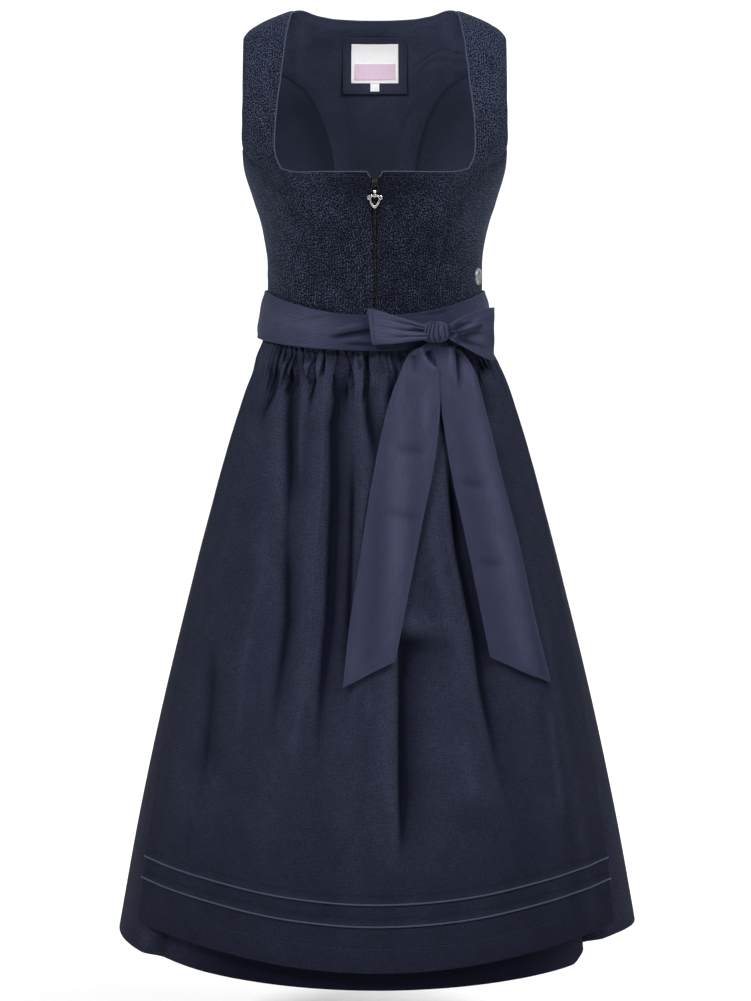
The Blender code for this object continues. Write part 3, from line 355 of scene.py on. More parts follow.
@dataclass
class SkirtForm:
    """The skirt's outer face over a plan angle and a height, and the apron's over it."""

    waist: Triple = (0.1335, 0.1105, 0.0905)
    hem: Triple = (0.3175, 0.251, 0.235)
    gathers: int = 60
    gather_depth: float = 0.003
    gathers_start: float = -0.3945
    apron_gathers: int = 46
    apron_gather_depth: float = 0.0042
    apron_out: Pair = (0.006, 0.0021)
    apron_right: Pair = (math.radians(-75), math.radians(-64))
    apron_left: Pair = (math.radians(76), math.radians(62))
    outline: Table = tabled("height half_width", (
        (-1112, 318), (-972, 292), (-823, 259.6), (-700, 229.5), (-603, 204.6), (-506, 177.2), (-458, 160),
        (-434, 150.9), (-410, 141.5), (-395, 136.2), (-386, 133.5), (-372, 131.2), (-350, 129.7),
        (-325, 129)))
    gathering_share: Table = tabled("height share", (
        (-640, 0), (-540, 140), (-470, 400), (-430, 750), (-402, 1000), (-391, 600), (-383, 350),
        (-340, 250)))
    apron_folds: Table = tabled("waist hem half top bottom rise", (
        (-60, -49, 10, -420, -1160, 5), (-31, -20, 6, -390, -1120, 9), (-9, -6, 5, -390, -1120, 7),
        (9, -1, 4.5, -390, -1100, 6.5), (20, 21, 8, -410, -1140, 8.5), (37, 44, 6, -410, -1140, 6.5),
        (50, 53, 3, -600, -1140, 5.5)))
    skirt_folds: Table = tabled("waist hem half top bottom rise", (
        (100, 98, 7, -420, -1400, 3), (118, 117, 8, -400, -1400, 16), (140, 139, 7, -400, -1400, 18),
        (160, 162, 7.5, -400, -1400, 15), (181, 184, 7, -400, -1400, 18), (203, 206, 8, -400, -1400, 14),
        (223, 225, 7, -400, -1400, 18), (244, 246, 7.5, -400, -1400, 14), (261, 263, 6, -420, -1400, 3)))

    def plan(self, height: Array) -> tuple[Array, Array, Array, Array]:
        """The half width, front, back and squareness at a height."""
        half = smooth(height, self.outline["height"], self.outline["half_width"])
        share = (half - self.waist[0]) / (self.hem[0] - self.waist[0])
        front, back = (between(self.waist[k], self.hem[k], share) for k in (1, 2))
        return half, front, back, 0.08 * np.clip(1 - share, 0, 1)

    def swing(self, height: Array) -> Array:
        """How far the skirt hangs towards the wearer's left, below the waistband."""
        return 0.0035 * (1 - ease(height, -0.43, -0.39))

    def base(self, angle: Array, height: Array, out: Array | float = 0.0) -> Array:
        """The plan oval at a height, with no gathers or folds, grown by `out`."""
        half, front, back, square = self.plan(height)
        x, y = oval(angle, half + out, front + out, back + out, square)
        return np.stack([x + self.swing(height), y, height + 0 * x], -1)

    def gathering(self, angle: Array, height: Array) -> Array:
        """How deep the gathers are at a place, as a share of their full depth."""
        at = height + BAND_DIP * front_dip(angle)
        return smooth(at, self.gathering_share["height"], self.gathering_share["share"])

    def hem_height(self, angle: Array) -> Array:
        """The skirt's hem, which hitches up at the wearer's left."""
        turn = np.mod(angle, 2 * math.pi)
        lift = 0.015 * bump(turn, *np.radians((48.5, 55.5, 125)))
        return SKIRT_HEM - 0.0105 * front_dip(angle) + lift

    def skirt(self, angle: Array, height: Array) -> Array:
        """The skirt: uneven gathers at the waist, long ridges round the back, a crease at the left.

        Args:
            angle: The plan angle.
            height: The height.

        Returns:
            The points.
        """
        turn = np.mod(angle, 2 * math.pi)
        phase = self.gathers * angle + 1.5 * rumple(turn, 0 * turn, (0.21, 1), 5)
        depth = self.gather_depth * (0.65 + 0.35 * rumple(turn, height, (0.16, 0.35), 6))
        covered = 1 - 0.9 * ease(np.cos(turn), 0.45, 0.7)
        wave = covered * depth * self.gathering(angle, height) * (0.5 + 0.5 * np.cos(phase))
        crease = bump(turn, *np.radians((52.5, 56.5, 85))) * (1 - ease(height, SKIRT_HEM, -0.85))
        edge = between(math.radians(75), math.radians(63), np.clip((WAIST_SEAM - height) / 0.65, 0, 1))
        under = ease(edge - np.arccos(np.cos(turn)), 0.02, 0.13) * (1 - ease(height, -0.405, -0.38))
        tuck = 0.012 * under + 0.004 * ease(np.cos(turn), 0.5, 0.75) * ease(-height, 1.045, 1.101)
        out = wave + folds(self.skirt_folds, turn, height) - 0.012 * crease - tuck
        return self.base(angle, height, out)

    def apron_stand(self, angle: Array, height: Array) -> Array:
        """How far the apron's outer face stands off the skirt's plain oval, without its gathers."""
        clear = between(*self.apron_out, ease(height, -0.45, -0.39))
        under = self.gather_depth * self.gathering(angle, height)
        return clear + under + folds(self.apron_folds, angle, height)

    def apron_angle(self, share: Array, height: Array) -> Array:
        """The angle at a share of the apron's width, from its right edge to its left edge."""
        down = np.clip((WAIST_SEAM - height) / (WAIST_SEAM - APRON_HEM), 0, 1)
        return between(between(*self.apron_right, down), between(*self.apron_left, down), share)

    def apron_hem(self, angle: Array) -> Array:
        """The apron's hem, lowest at the centre: cos squared across its width."""
        across = np.clip(np.abs(angle) / self.apron_left[1], 0, 1)
        return APRON_HEM - 0.0215 * np.cos(across * math.pi / 2) ** 2

    def apron(self, share: Array, height: Array) -> Array:
        """The apron: gathers of uneven width, depth and length, which run down into the long folds.

        Args:
            share: The share of the apron's width.
            height: The height.

        Returns:
            The points.
        """
        angle = self.apron_angle(share, height)
        phase = 2 * math.pi * self.apron_gathers * share + 2.6 * rumple(share, 0 * share, (0.041, 1), 11)
        uneven = 0.6 + 0.45 * rumple(share, 0 * share, (0.019, 1), 12)
        crest = (0.5 + 0.5 * np.cos(phase)) ** 0.8
        below = self.gathers_start - BAND_DIP * front_dip(angle) - height
        reach = between(0.03, 0.085, (0.5 + 0.5 * rumple(share, 0 * share, (0.017, 1), 13)) ** 2.0)
        wave = self.apron_gather_depth * uneven * crest * self.gathering(angle, height)
        wave = wave * (1 - ease(below / reach, 0.0, 1.0))
        wave = wave - 0.0022 * uneven * (1 - crest) * (1 - ease(below / reach, 0.0, 0.8))
        stand = self.apron_stand(angle, height) - 0.65 * folds(self.apron_folds, angle, height)
        return self.base(angle, height, stand + wave)


SKIRT = SkirtForm()

# The two edges of each ribbon end, as seen from the front
BOW_TAILS = {
    "right": table("right_x right_z left_x left_z", (
        (-36.5, -772, 23.5, -742), (-28.5, -700, 40, -660), (-16, -620, 55, -585), (-4, -545, 69, -518),
        (11, -473, 74, -465), (26, -426, 73, -430), (40, -397, 70.5, -402), (59, -386, 69.8, -386))),
    "left": table("right_x right_z left_x left_z", (
        (131.5, -742, 204, -778), (119, -682, 185, -698), (105, -613, 166, -612), (89, -540, 147, -540),
        (78.5, -476, 131, -475), (73, -435, 118, -428), (69.5, -402, 103, -397), (67.5, -386, 83, -386)))}

# Folds of the apron, from the wearer's right to left: valleys, then ridges
APRON_CREASES = creases(
    ((-103, -395, -110, -410, -122, -440, -132, -464, -137, -499), -9, (8, 7)),
    ((-89, -398, -96, -413, -104, -439, -105, -471, -103, -563, -102, -631), -13, (6, 24)),
    ((-103, -563, -102, -700, -113, -785, -122, -870), -9, (9, 16), (0.3, 0.6)),
    ((-72, -399, -74, -420, -75, -448, -77, -470), -5.5, (4, 4)),
    ((-60, -402, -62, -426), -4.5, (3, 4)),
    ((-45, -398, -42, -426, -46, -452, -51, -476, -50, -555, -55, -696, -62, -781, -68, -881),
     -14, (5, 24)),
    ((-30, -402, -28, -425), -4.5, (3, 4)),
    ((-12, -402, -12, -429, -8, -469, -2, -500, 0, -536), -9.5, (4, 12)),
    ((-27, -480, -27, -563, -30, -696, -31, -831), -7.0, (12, 5), (0.3, 0.5)),
    ((28, -402, 19, -440, 12, -469), -7.5, (6, 8)),
    ((121, -401, 129, -452, 133, -490), -7.5, (5, 9)),
    ((30, -700, 30, -860, 31, -980), -13, (4, 34), (0.1, 0.4)),
    ((84, -500, 97, -617, 118, -719, 124, -773, 140, -860, 162, -941), -12, (6, 18), (0.2, 0.6)),
    ((-185, -700, -197, -831, -205, -930), -8, (18, 18), (0.4, 0.4)),
    ((-107, -413, -109, -452, -109, -497), 4.0, (6, 4)),
    ((-82, -410, -86, -440, -88, -500, -86, -560), 3.5, (6, 6)),
    ((-56, -424, -58, -536, -69, -643, -77, -749, -93, -845, -95, -908), 7.0, (17, 7), (0.1, 0.5)),
    ((-122, -540, -127, -646, -150, -754, -160, -880), 5.5, (34, 14), (0.3, 0.4)),
    ((-17, -418, -15, -508, -12, -600, -8, -700, -8, -860), 4.5, (7, 7), (0.0, 0.4)),
    ((66, -560, 75, -642, 91, -706, 107, -761), 6.5, (12, 6), (0.3, 0.6)),
    ((100, -800, 112, -930), 3.0, (22, 18), (0.4, 0.4)),
    ((197, -780, 218, -949), 3.0, (7, 7), (0.3, 0.3)),
)


# Meshes

def read(items: bpy.types.bpy_prop_collection, name: str, width: int, kind: type = float) -> Array:
    """Read one value of every item into an array with this many columns."""
    values = np.empty(len(items) * width, kind)
    items.foreach_get(name, values)
    return values.reshape(-1, width)


def put(name: str, data: bpy.types.ID) -> Object:
    """Put a mesh, a curve, a light or a camera into the scene."""
    made = bpy.data.objects.new(name, data)
    bpy.context.scene.collection.objects.link(made)
    return made


def set_painted_shade(mesh: bpy.types.Mesh, hollow: Array) -> None:
    """Store each point's painted shade, which darkens its cloth's colour, or lightens it where below 0."""
    values = hollow.astype(np.float32).ravel()
    mesh.attributes.new("hollow", "FLOAT", "POINT").data.foreach_set("value", values)


def mesh_object(name: str, points: Array, faces: Array | list[tuple[int, ...]], uv: Array | None = None,
                sharp: float = 50, hollow: Array | None = None) -> Object:
    """Make a smooth-shaded object from points and faces.

    Args:
        name: The object's name.
        points: The points.
        faces: Each face's points, by number.
        uv: Each point's place on the flat cloth, in metres.
        sharp: The angle from which an edge is sharp, in degrees.
        hollow: The shade painted into each point's colour.

    Returns:
        The object.
    """
    mesh = bpy.data.meshes.new(name)
    faces = faces.tolist() if isinstance(faces, np.ndarray) else faces
    mesh.from_pydata(points.reshape(-1, 3).tolist(), [], faces)
    if uv is not None:
        corners = read(mesh.loops, "vertex_index", 1, np.int32)[:, 0]
        layer = mesh.uv_layers.new(name="cloth")
        layer.data.foreach_set("uv", uv.reshape(-1, 2)[corners].astype(np.float32).ravel())
    if hollow is not None:
        set_painted_shade(mesh, hollow)
    mesh.shade_smooth()
    mesh.set_sharp_from_angle(angle=math.radians(sharp))
    return put(name, mesh)


def skins(outer: Array, inner: Array, present: Array) -> Array:
    """Number the quads of two skins of the same rows and columns, joined along every open edge.

    Args:
        outer: The outer skin's points, whose columns run right and rows run up.
        inner: The inner skin's points.
        present: Which cells are there.

    Returns:
        The quads.
    """
    columns, count = outer.shape[1], outer.shape[0] * outer.shape[1]
    keep = np.pad(present, 1)
    r, c = np.nonzero(present)
    a, e = r * columns + c, (r + 1) * columns + c
    b, d = a + 1, e + 1
    quads = [np.stack([a, b, d, e], 1), np.stack([e, d, b, a], 1) + count]
    for i, j, down, right in ((a, b, -1, 0), (b, d, 0, 1), (d, e, 1, 0), (e, a, 0, -1)):
        bare = ~keep[r + 1 + down, c + 1 + right]
        quads.append(np.stack([j, i, i + count, j + count], 1)[bare])
    return np.concatenate(quads)


def loft(name: str, rings: Array, uv: Array | None = None, sharp: float = 60,
         closed: bool = False) -> Object:
    """Skin rings of points one after another, and cap both ends unless they join up.

    Args:
        name: The object's name.
        rings: The rings' points, one row each.
        uv: Each point's place on the flat cloth.
        sharp: The angle from which an edge is sharp.
        closed: Whether the last ring joins the first.

    Returns:
        The object.
    """
    rows, sides = rings.shape[:2]
    r, c = np.meshgrid(np.arange(rows if closed else rows - 1), np.arange(sides), indexing="ij")
    nr, nc = (r + 1) % rows, (c + 1) % sides
    quads = np.stack([r * sides + c, r * sides + nc, nr * sides + nc, nr * sides + c], -1)
    quads = quads.reshape(-1, 4).tolist()
    if not closed:
        quads += [tuple(range(sides))[::-1], tuple(range((rows - 1) * sides, rows * sides))]
    return outward(mesh_object(name, rings, quads, uv, sharp))


def tube(name: str, path: Array, radius: float, sides: int = 10, closed: bool = False, flat: float = 1.0,
         up: Sequence[float] = (0.0, 0.0, 1.0)) -> Object:
    """A round cord: circles square to a path, with domed ends unless it closes on itself.

    Args:
        name: The object's name.
        path: The points that its middle follows.
        radius: Its radius.
        sides: How many points go round it.
        closed: Whether it joins up with its start.
        flat: Its thickness towards `up`, as a share of its width.
        up: The side that it is flattened from.

    Returns:
        The object.
    """
    radii = np.full(len(path), radius)
    if not closed:
        ahead, behind = unit(path[0] - path[1]), unit(path[-1] - path[-2])
        caps = np.array([[1, 0.15], [0.85, 0.55], [0.5, 0.88]])
        path = np.concatenate([path[0] + ahead * caps[:, :1] * radius, path,
                               path[-1] + behind * caps[::-1, :1] * radius])
        radii = np.concatenate([caps[:, 1] * radius, radii, caps[::-1, 1] * radius])
    along = unit(np.roll(path, -1, 0) - np.roll(path, 1, 0)) if closed else unit(np.gradient(path, axis=0))
    side = np.cross(along, up)
    weak = np.linalg.norm(side, axis=1) < 0.1
    side[weak] = np.cross(along[weak], [1.0, 0.3, 0.0])
    side = unit(side)
    for k in range(1, len(side)):
        if np.dot(side[k], side[k - 1]) < 0:
            side[k] = -side[k]
    lift = np.cross(side, along)
    turn = np.linspace(0, 2 * math.pi, sides, endpoint=False)[:, None, None]
    ring = (np.cos(turn) * side + flat * np.sin(turn) * lift) * radii[:, None]
    uv = np.stack(np.broadcast_arrays(turn[:, 0, 0] * radii[:, None], lengths_along(path)[:, None]), -1)
    return loft(name, (path + ring).transpose(1, 0, 2), uv, 70, closed)


def outward(made: Object) -> Object:
    """Turn a closed mesh's faces outward: its signed volume is positive then."""
    mesh = made.data
    mesh.calc_loop_triangles()
    corners = read(mesh.loop_triangles, "vertices", 3, np.int32)
    a, b, c = read(mesh.vertices, "co", 3)[corners].transpose(1, 0, 2)
    if np.einsum("ij,ij->i", a, np.cross(b, c)).sum() < 0:
        mesh.flip_normals()
    return made


def stitches(name: str, path: Array, normals: Array, length: float) -> Object:
    """A row of thread stitches, each a short bead that dips into the cloth at both ends.

    Args:
        name: The object's name.
        path: The line on the cloth.
        normals: The cloth's normals along it.
        length: The length of a stitch.

    Returns:
        The object, with all the stitches in one mesh.
    """
    run = lengths_along(path)
    starts = np.arange(STITCH_GAP, run[-1] - length, length + STITCH_GAP)
    shares = np.array([0, 0.12, 0.35, 0.65, 0.88, 1.0])
    at = starts[:, None] + length * shares
    centre = np.stack([np.interp(at, run, path[:, k]) for k in range(3)], -1)
    normal = unit(np.stack([np.interp(at, run, normals[:, k]) for k in range(3)], -1))
    along = unit(np.gradient(centre, axis=1))
    side = np.cross(along, normal)
    lift = np.array([-0.9, 0.1, 0.75, 0.75, 0.1, -0.9])[:, None] * THREAD_RADIUS
    width = np.array([0.35, 0.9, 1.0, 1.0, 0.9, 0.35]) * THREAD_RADIUS
    turn = np.linspace(0, 2 * math.pi, 6, endpoint=False)
    ring = np.cos(turn)[:, None] * side[:, :, None] + np.sin(turn)[:, None] * normal[:, :, None]
    points = (centre + normal * lift)[:, :, None] + ring * width[:, None, None]
    n, rings, sides = points.shape[:3]
    s, r, c = np.meshgrid(np.arange(n), np.arange(rings - 1), np.arange(sides), indexing="ij")
    base, up = (s * rings + r) * sides, (s * rings + r + 1) * sides
    quads = np.stack([base + c, base + (c + 1) % sides, up + (c + 1) % sides, up + c], -1)
    quads = quads.reshape(-1, 4).tolist()
    for k in range(n):
        first, last = k * rings * sides, ((k + 1) * rings - 1) * sides
        quads += [tuple(range(first, first + sides))[::-1], tuple(range(last, last + sides))]
    return outward(mesh_object(name, points, quads, None, 80))


@dataclass
class Cloth:
    """A piece of cloth with two skins over a surface of two parameters.

    `out` and `relief` lift it off the surface, `turned` names the edges that are turned under, `shade` is
    shade painted over it (light where below 0), and `cavity` sets how much shade is painted into its hollows.
    """

    name: str
    surface: Surface
    a: Array
    b: Array
    wall: float
    out: float = 0.0
    present: Array | None = None
    relief: Callable[["Cloth"], Array] | None = None
    turned: str = ""
    # Shade painted over the whole piece (light where below 0), and how strongly shade is painted into its
    # hollows
    shade: Array | float = 0.0
    cavity: float = 1.0
    points: Array = field(init=False)
    normals: Array = field(init=False)
    u: Array = field(init=False)
    v: Array = field(init=False)
    outer: Array = field(init=False)

    def __post_init__(self) -> None:
        """Measure the plain surface, then lay the outer skin over it."""
        self.points = self.surface(self.a, self.b)
        self.normals = facing(self.surface, self.a, self.b)
        self.u, self.v = lengths_along(self.points, 1), lengths_along(self.points)
        if self.present is None:
            self.present = np.ones((self.a.shape[0] - 1, self.a.shape[1] - 1), bool)
        lift = 0.0 if self.relief is None else self.relief(self)
        self.outer = self.points + self.normals * np.asarray(self.out + lift)[..., None]

    @property
    def reach(self) -> Table:
        """How far each point is from the bottom, top, left and right edge."""
        return {"b": self.v, "t": self.v[-1:] - self.v, "l": self.u, "r": self.u[:, -1:] - self.u}

    def edge(self, sides: str) -> Array:
        """How far each point is from the nearest of the named edges (b, t, l, r)."""
        return np.min([self.reach[side] for side in sides], 0) if sides else np.full(self.u.shape, 1.0)

    def build(self) -> Object:
        """Make the mesh: both skins meet in a rounded fold along each turned edge.

        Returns:
            The object.
        """
        half = self.wall / 2
        near = np.clip(self.edge(self.turned) / (1.2 * half), 0, 1)
        thick = half * np.sqrt(np.clip(1 - (1 - near) ** 2, 0.02, 1))[..., None]
        middle = self.outer - self.normals * half
        outer, inner = middle + self.normals * thick, middle - self.normals * thick
        uv = np.stack([self.u - self.u.mean(1, keepdims=True), self.v], -1)
        points = np.concatenate([outer.reshape(-1, 3), inner.reshape(-1, 3)])
        # Both skins carry the shade painted into the cloth's colour
        uv, deep = np.concatenate([uv, uv]), np.concatenate([self.hollow()] * 2)
        return mesh_object(self.name, points, skins(outer, inner, self.present), uv, 55, deep)

    def hollow(self) -> Array:
        """The shade painted into each point's colour: 1 deep in its hollows, below 0 (painted light) on a
        ridge.

        The surroundings are the mean of the skin over a small and a large box, from running sums.

        Returns:
            The painted shade, with the piece's own painted shade added, -1.3 to 1.
        """
        depth = np.zeros(self.u.shape)
        for reach, full in ((0.009, 0.003), (0.03, 0.011)):
            around = self.outer
            for axis, run in ((1, self.u), (0, self.v)):
                steps = max(1, round(reach / (np.ptp(run, axis=axis).mean() / run.shape[axis])))
                steps = min(steps, run.shape[axis] // 3)
                padded = np.pad(around, [(steps + 1, steps) if k == axis else (0, 0) for k in range(3)],
                                "reflect", reflect_type="odd")
                sums, size = np.cumsum(padded, axis), 2 * steps + 1
                high, low = np.arange(size, padded.shape[axis]), np.arange(padded.shape[axis] - size)
                around = (sums.take(high, axis) - sums.take(low, axis)) / size
            inside = ease(self.edge("lrbt"), 0.1 * reach, reach)
            depth = depth + ((around - self.outer) * self.normals).sum(-1) / full * inside
        return np.clip(np.clip(self.cavity * depth, -0.5, 1.0) + self.shade, -1.3, 1.0)

    def beside(self, edge: str, far: float) -> tuple[Array, Array]:
        """Trace the line that runs this far from one edge, on the outer skin.

        Args:
            edge: The edge (b, t, l or r).
            far: How far.

        Returns:
            Its points and normals.
        """
        reach, skin = self.reach[edge], np.concatenate([self.outer, self.normals], -1)
        if edge in "lr":
            reach, skin = reach.T, skin.transpose(1, 0, 2)
        if edge in "tr":
            reach, skin = reach[::-1], skin[::-1]
        lay = np.array([[np.interp(far, reach[:, c], skin[:, c, k]) for k in range(6)]
                        for c in range(reach.shape[1])])
        return lay[:, :3], unit(lay[:, 3:])


# Finishes

def operator(operation: str, swapped: bool = False) -> Callable[["Number", "Number | float"], "Number"]:
    """Make a method that joins a Number and another value, or the two swapped, in a Math node."""
    def method(self: "Number", other: "Number | float") -> "Number":
        """Add the node and wrap what it gives."""
        return self.maths(operation, *((other, self) if swapped else (self, other)))
    return method


class Number:
    """A number that varies over a surface. It takes part in sums as a plain number does."""

    def __init__(self, painter: "Painter", socket: bpy.types.NodeSocket) -> None:
        """Wrap a socket of a painter's tree."""
        self.painter, self.socket = painter, socket

    def maths(self, operation: str, *values: "Number | float") -> "Number":
        """Add a Math node and wrap what it gives."""
        return self.painter.number("ShaderNodeMath", {"operation": operation}, dict(enumerate(values)))

    __add__ = __radd__ = operator("ADD")
    __mul__ = __rmul__ = operator("MULTIPLY")
    __sub__, __rsub__ = operator("SUBTRACT"), operator("SUBTRACT", True)
    __truediv__, __rtruediv__ = operator("DIVIDE"), operator("DIVIDE", True)

    def wave(self) -> "Number":
        """Half of 1 plus the sine, which runs from 0 to 1."""
        return 0.5 + 0.5 * self.maths("SINE", self)

    def step(self, low: float, high: float) -> "Number":
        """Rise from 0 to 1 between two values."""
        return self.painter.number("ShaderNodeMapRange", {"interpolation_type": "SMOOTHSTEP", "clamp": True},
                                   {0: self, 1: low, 2: high, 3: 0.0, 4: 1.0})


class Painter:
    """Builds one material's nodes."""

    def __init__(self, name: str) -> None:
        """Start a material with a plain Principled shader.

        Args:
            name: The material's name.
        """
        self.material = bpy.data.materials.new(name)
        self.material.use_nodes = True
        self.tree = self.material.node_tree
        self.shader = self.tree.nodes["Principled BSDF"]

    def node(self, kind: str, settings: dict[str, object], inputs: dict[int | str, object]) -> bpy.types.Node:
        """Add a node: its settings first, then its sockets' values or links.

        Args:
            kind: The node's type.
            settings: Its settings by name.
            inputs: Its sockets' values, Numbers or sockets, by number or name.

        Returns:
            The node.
        """
        made = self.tree.nodes.new(kind)
        for name, value in settings.items():
            setattr(made, name, value)
        for name, value in inputs.items():
            self.fill(made.inputs[name], value)
        return made

    def fill(self, socket: bpy.types.NodeSocket, value: object) -> None:
        """Give a socket a plain value, or link a Number or another socket to it."""
        value = value.socket if isinstance(value, Number) else value
        if isinstance(value, bpy.types.NodeSocket):
            self.tree.links.new(value, socket)
        else:
            socket.default_value = value

    def set(self, socket: str, value: object) -> None:
        """Set one of the shader's sockets, plain or varying."""
        self.fill(self.shader.inputs[socket], value)

    def number(self, kind: str, settings: dict[str, object], inputs: dict[int | str, object]) -> Number:
        """Add a node and wrap its first output."""
        return Number(self, self.node(kind, settings, inputs).outputs[0])

    def place(self) -> tuple[Number, Number]:
        """Each point's place on the flat cloth, in metres, across and along."""
        where = self.node("ShaderNodeUVMap", {"uv_map": "cloth"}, {}).outputs[0]
        apart = self.node("ShaderNodeSeparateXYZ", {}, {0: where})
        return Number(self, apart.outputs[0]), Number(self, apart.outputs[1])

    def mottle(self, u: Number, v: Number, across: float, along: float, detail: float = 2.0,
               w: float = 0.0) -> Number:
        """Random mottling, 0 to 1, in patches this wide and long; `w` picks another pattern."""
        where = self.node("ShaderNodeCombineXYZ", {}, {0: u / across, 1: v / along, 2: w}).outputs[0]
        return self.number("ShaderNodeTexNoise", {"noise_dimensions": "3D"},
                           {"Vector": where, "Scale": 1.0, "Detail": detail, "Roughness": 0.55})

    def colour(self, share: Number, low: Sequence[float], high: Sequence[float]) -> None:
        """Blend the base colour from the first colour, at share 0, to the second, at share 1."""
        self.set("Base Color", self.node("ShaderNodeMix", {"data_type": "RGBA", "clamp_factor": True},
                                         {"Factor": share, 6: (*low, 1), 7: (*high, 1)}).outputs[2])

    def relief(self, height: Number, depth: float) -> None:
        """Shade a fine relief from its height, 0 to 1, and its depth in metres."""
        made = self.node("ShaderNodeBump", {}, {"Height": height, "Distance": depth, "Strength": 1.0})
        self.set("Normal", made.outputs[0])


class Weave(Enum):
    """How a cloth is woven."""

    JACQUARD = "a raised, speckled figure on a dark ground"
    PLAIN = "threads that cross over and under"
    RIB = "fine ribs along the cloth's second direction"
    COURSE = "fine ribs along its first direction"
    SATIN = "long floats with a smooth face"


@dataclass(frozen=True)
class ClothFinish:
    """A woven cloth: its threads' colours, weave, sheen and wear, with the mesh's painted shade in its
    colour.
    """

    name: str
    dark: Triple
    light: Triple
    weave: Weave
    pitch: float
    roughness: float
    sheen: float = 0.0
    sheen_tint: Triple = (0.55, 0.64, 1.0)
    depth: float = 0.0003
    gloss: float = 0.1

    def make(self) -> bpy.types.Material:
        """Build the material.

        Returns:
            The material.
        """
        paint = Painter(self.name)
        u, v = paint.place()
        worn = paint.mottle(u, v, 0.03, 0.045, 3.0, 7.0)
        height, tone = getattr(self, "_" + self.weave.name.lower())(paint, u, v)
        # The mesh's painted shade darkens the colour, and lightens it where below 0
        stored = paint.node("ShaderNodeAttribute", {"attribute_name": "hollow"}, {})
        hollow = Number(paint, stored.outputs["Fac"])
        paint.colour(tone * (0.7 + 0.6 * worn) * (1 - 0.9 * hollow), self.dark, self.light)
        paint.set("Roughness", self.roughness - 0.12 * tone + 0.08 * worn)
        paint.set("Specular IOR Level", self.gloss)
        paint.set("Sheen Weight", self.sheen)
        paint.set("Sheen Roughness", 0.4)
        paint.set("Sheen Tint", (*self.sheen_tint, 1))
        paint.relief(height, self.depth)
        return paint.material

    def _threads(self, u: Number, v: Number) -> tuple[Number, Number]:
        """Two sets of threads, a wave across and a wave along."""
        turn = 2 * math.pi / self.pitch
        return (u * turn).wave(), (v * turn).wave()

    def _jacquard(self, paint: Painter, u: Number, v: Number) -> tuple[Number, Number]:
        """Small raised loops in uneven upright rows, with lighter speckles on top."""
        loops = paint.mottle(u, v, self.pitch, 1.25 * self.pitch, 1.0)
        rows = (u * (2 * math.pi / 0.0032) + 6.0 * paint.mottle(u, v, 0.012, 0.02, 1.0, 3.0)).wave()
        patch = paint.mottle(u, v, 0.01, 0.022, 2.0, 5.0)
        raised = loops.step(0.47, 0.6) * (0.4 + 0.6 * rows)
        return raised + 0.25 * patch, raised * (0.6 + 0.45 * patch.step(0.35, 0.65))

    def _plain(self, paint: Painter, u: Number, v: Number) -> tuple[Number, Number]:
        """Crossing threads, with grains where they bunch and a slight slub in both."""
        across, along = self._threads(u, v)
        grain = paint.mottle(u, v, 1.3 * self.pitch, 1.7 * self.pitch, 1.0)
        slub = paint.mottle(u, v, 0.0012, 0.012) * 0.5 + paint.mottle(u, v, 0.012, 0.0012, w=2.0) * 0.5
        cross = across * along + (1 - across) * (1 - along)
        height = cross * 0.6 + grain * 0.4
        return height, cross * 0.25 + grain.step(0.3, 0.7) * 0.38 + slub.step(0.35, 0.7) * 0.25 + 0.06

    def _rib(self, paint: Painter, u: Number, v: Number) -> tuple[Number, Number]:
        """Round ribs along the cloth, with a fine slub in them."""
        across, _ = self._threads(u, v)
        slub = paint.mottle(u, v, self.pitch, 0.02, 1.0)
        return across, across * 0.4 + slub * 0.3 + 0.15

    def _course(self, paint: Painter, u: Number, v: Number) -> tuple[Number, Number]:
        """The same ribs turned a quarter."""
        return self._rib(paint, v, u)

    def _satin(self, paint: Painter, u: Number, v: Number) -> tuple[Number, Number]:
        """Slanting floats on a smooth face."""
        floats = ((u + v * 0.6) * (2 * math.pi / self.pitch)).wave()
        return floats, floats * 0.5 + paint.mottle(u, v, 0.002, 0.006) * 0.5


@dataclass(frozen=True)
class MetalFinish:
    """A metal or an enamelled metal, with handling marks."""

    name: str
    bright: Triple
    dull: Triple
    metallic: float
    roughness: float
    grain: float = 0.0012

    def make(self) -> bpy.types.Material:
        """Build the material.

        Returns:
            The material.
        """
        paint = Painter(self.name)
        where = paint.node("ShaderNodeTexCoord", {}, {}).outputs["Object"]
        spots, fine = (paint.number("ShaderNodeTexNoise", {}, {"Vector": where, "Scale": s, "Detail": detail})
                       for s, detail in ((1 / self.grain, 4.0), (6 / self.grain, 2.0)))
        paint.colour(spots.step(0.35, 0.75), self.bright, self.dull)
        paint.set("Metallic", self.metallic)
        paint.set("Roughness", self.roughness + 0.18 * (fine - 0.5))
        paint.relief(spots * 0.6 + fine * 0.4, 0.00004)
        return paint.material


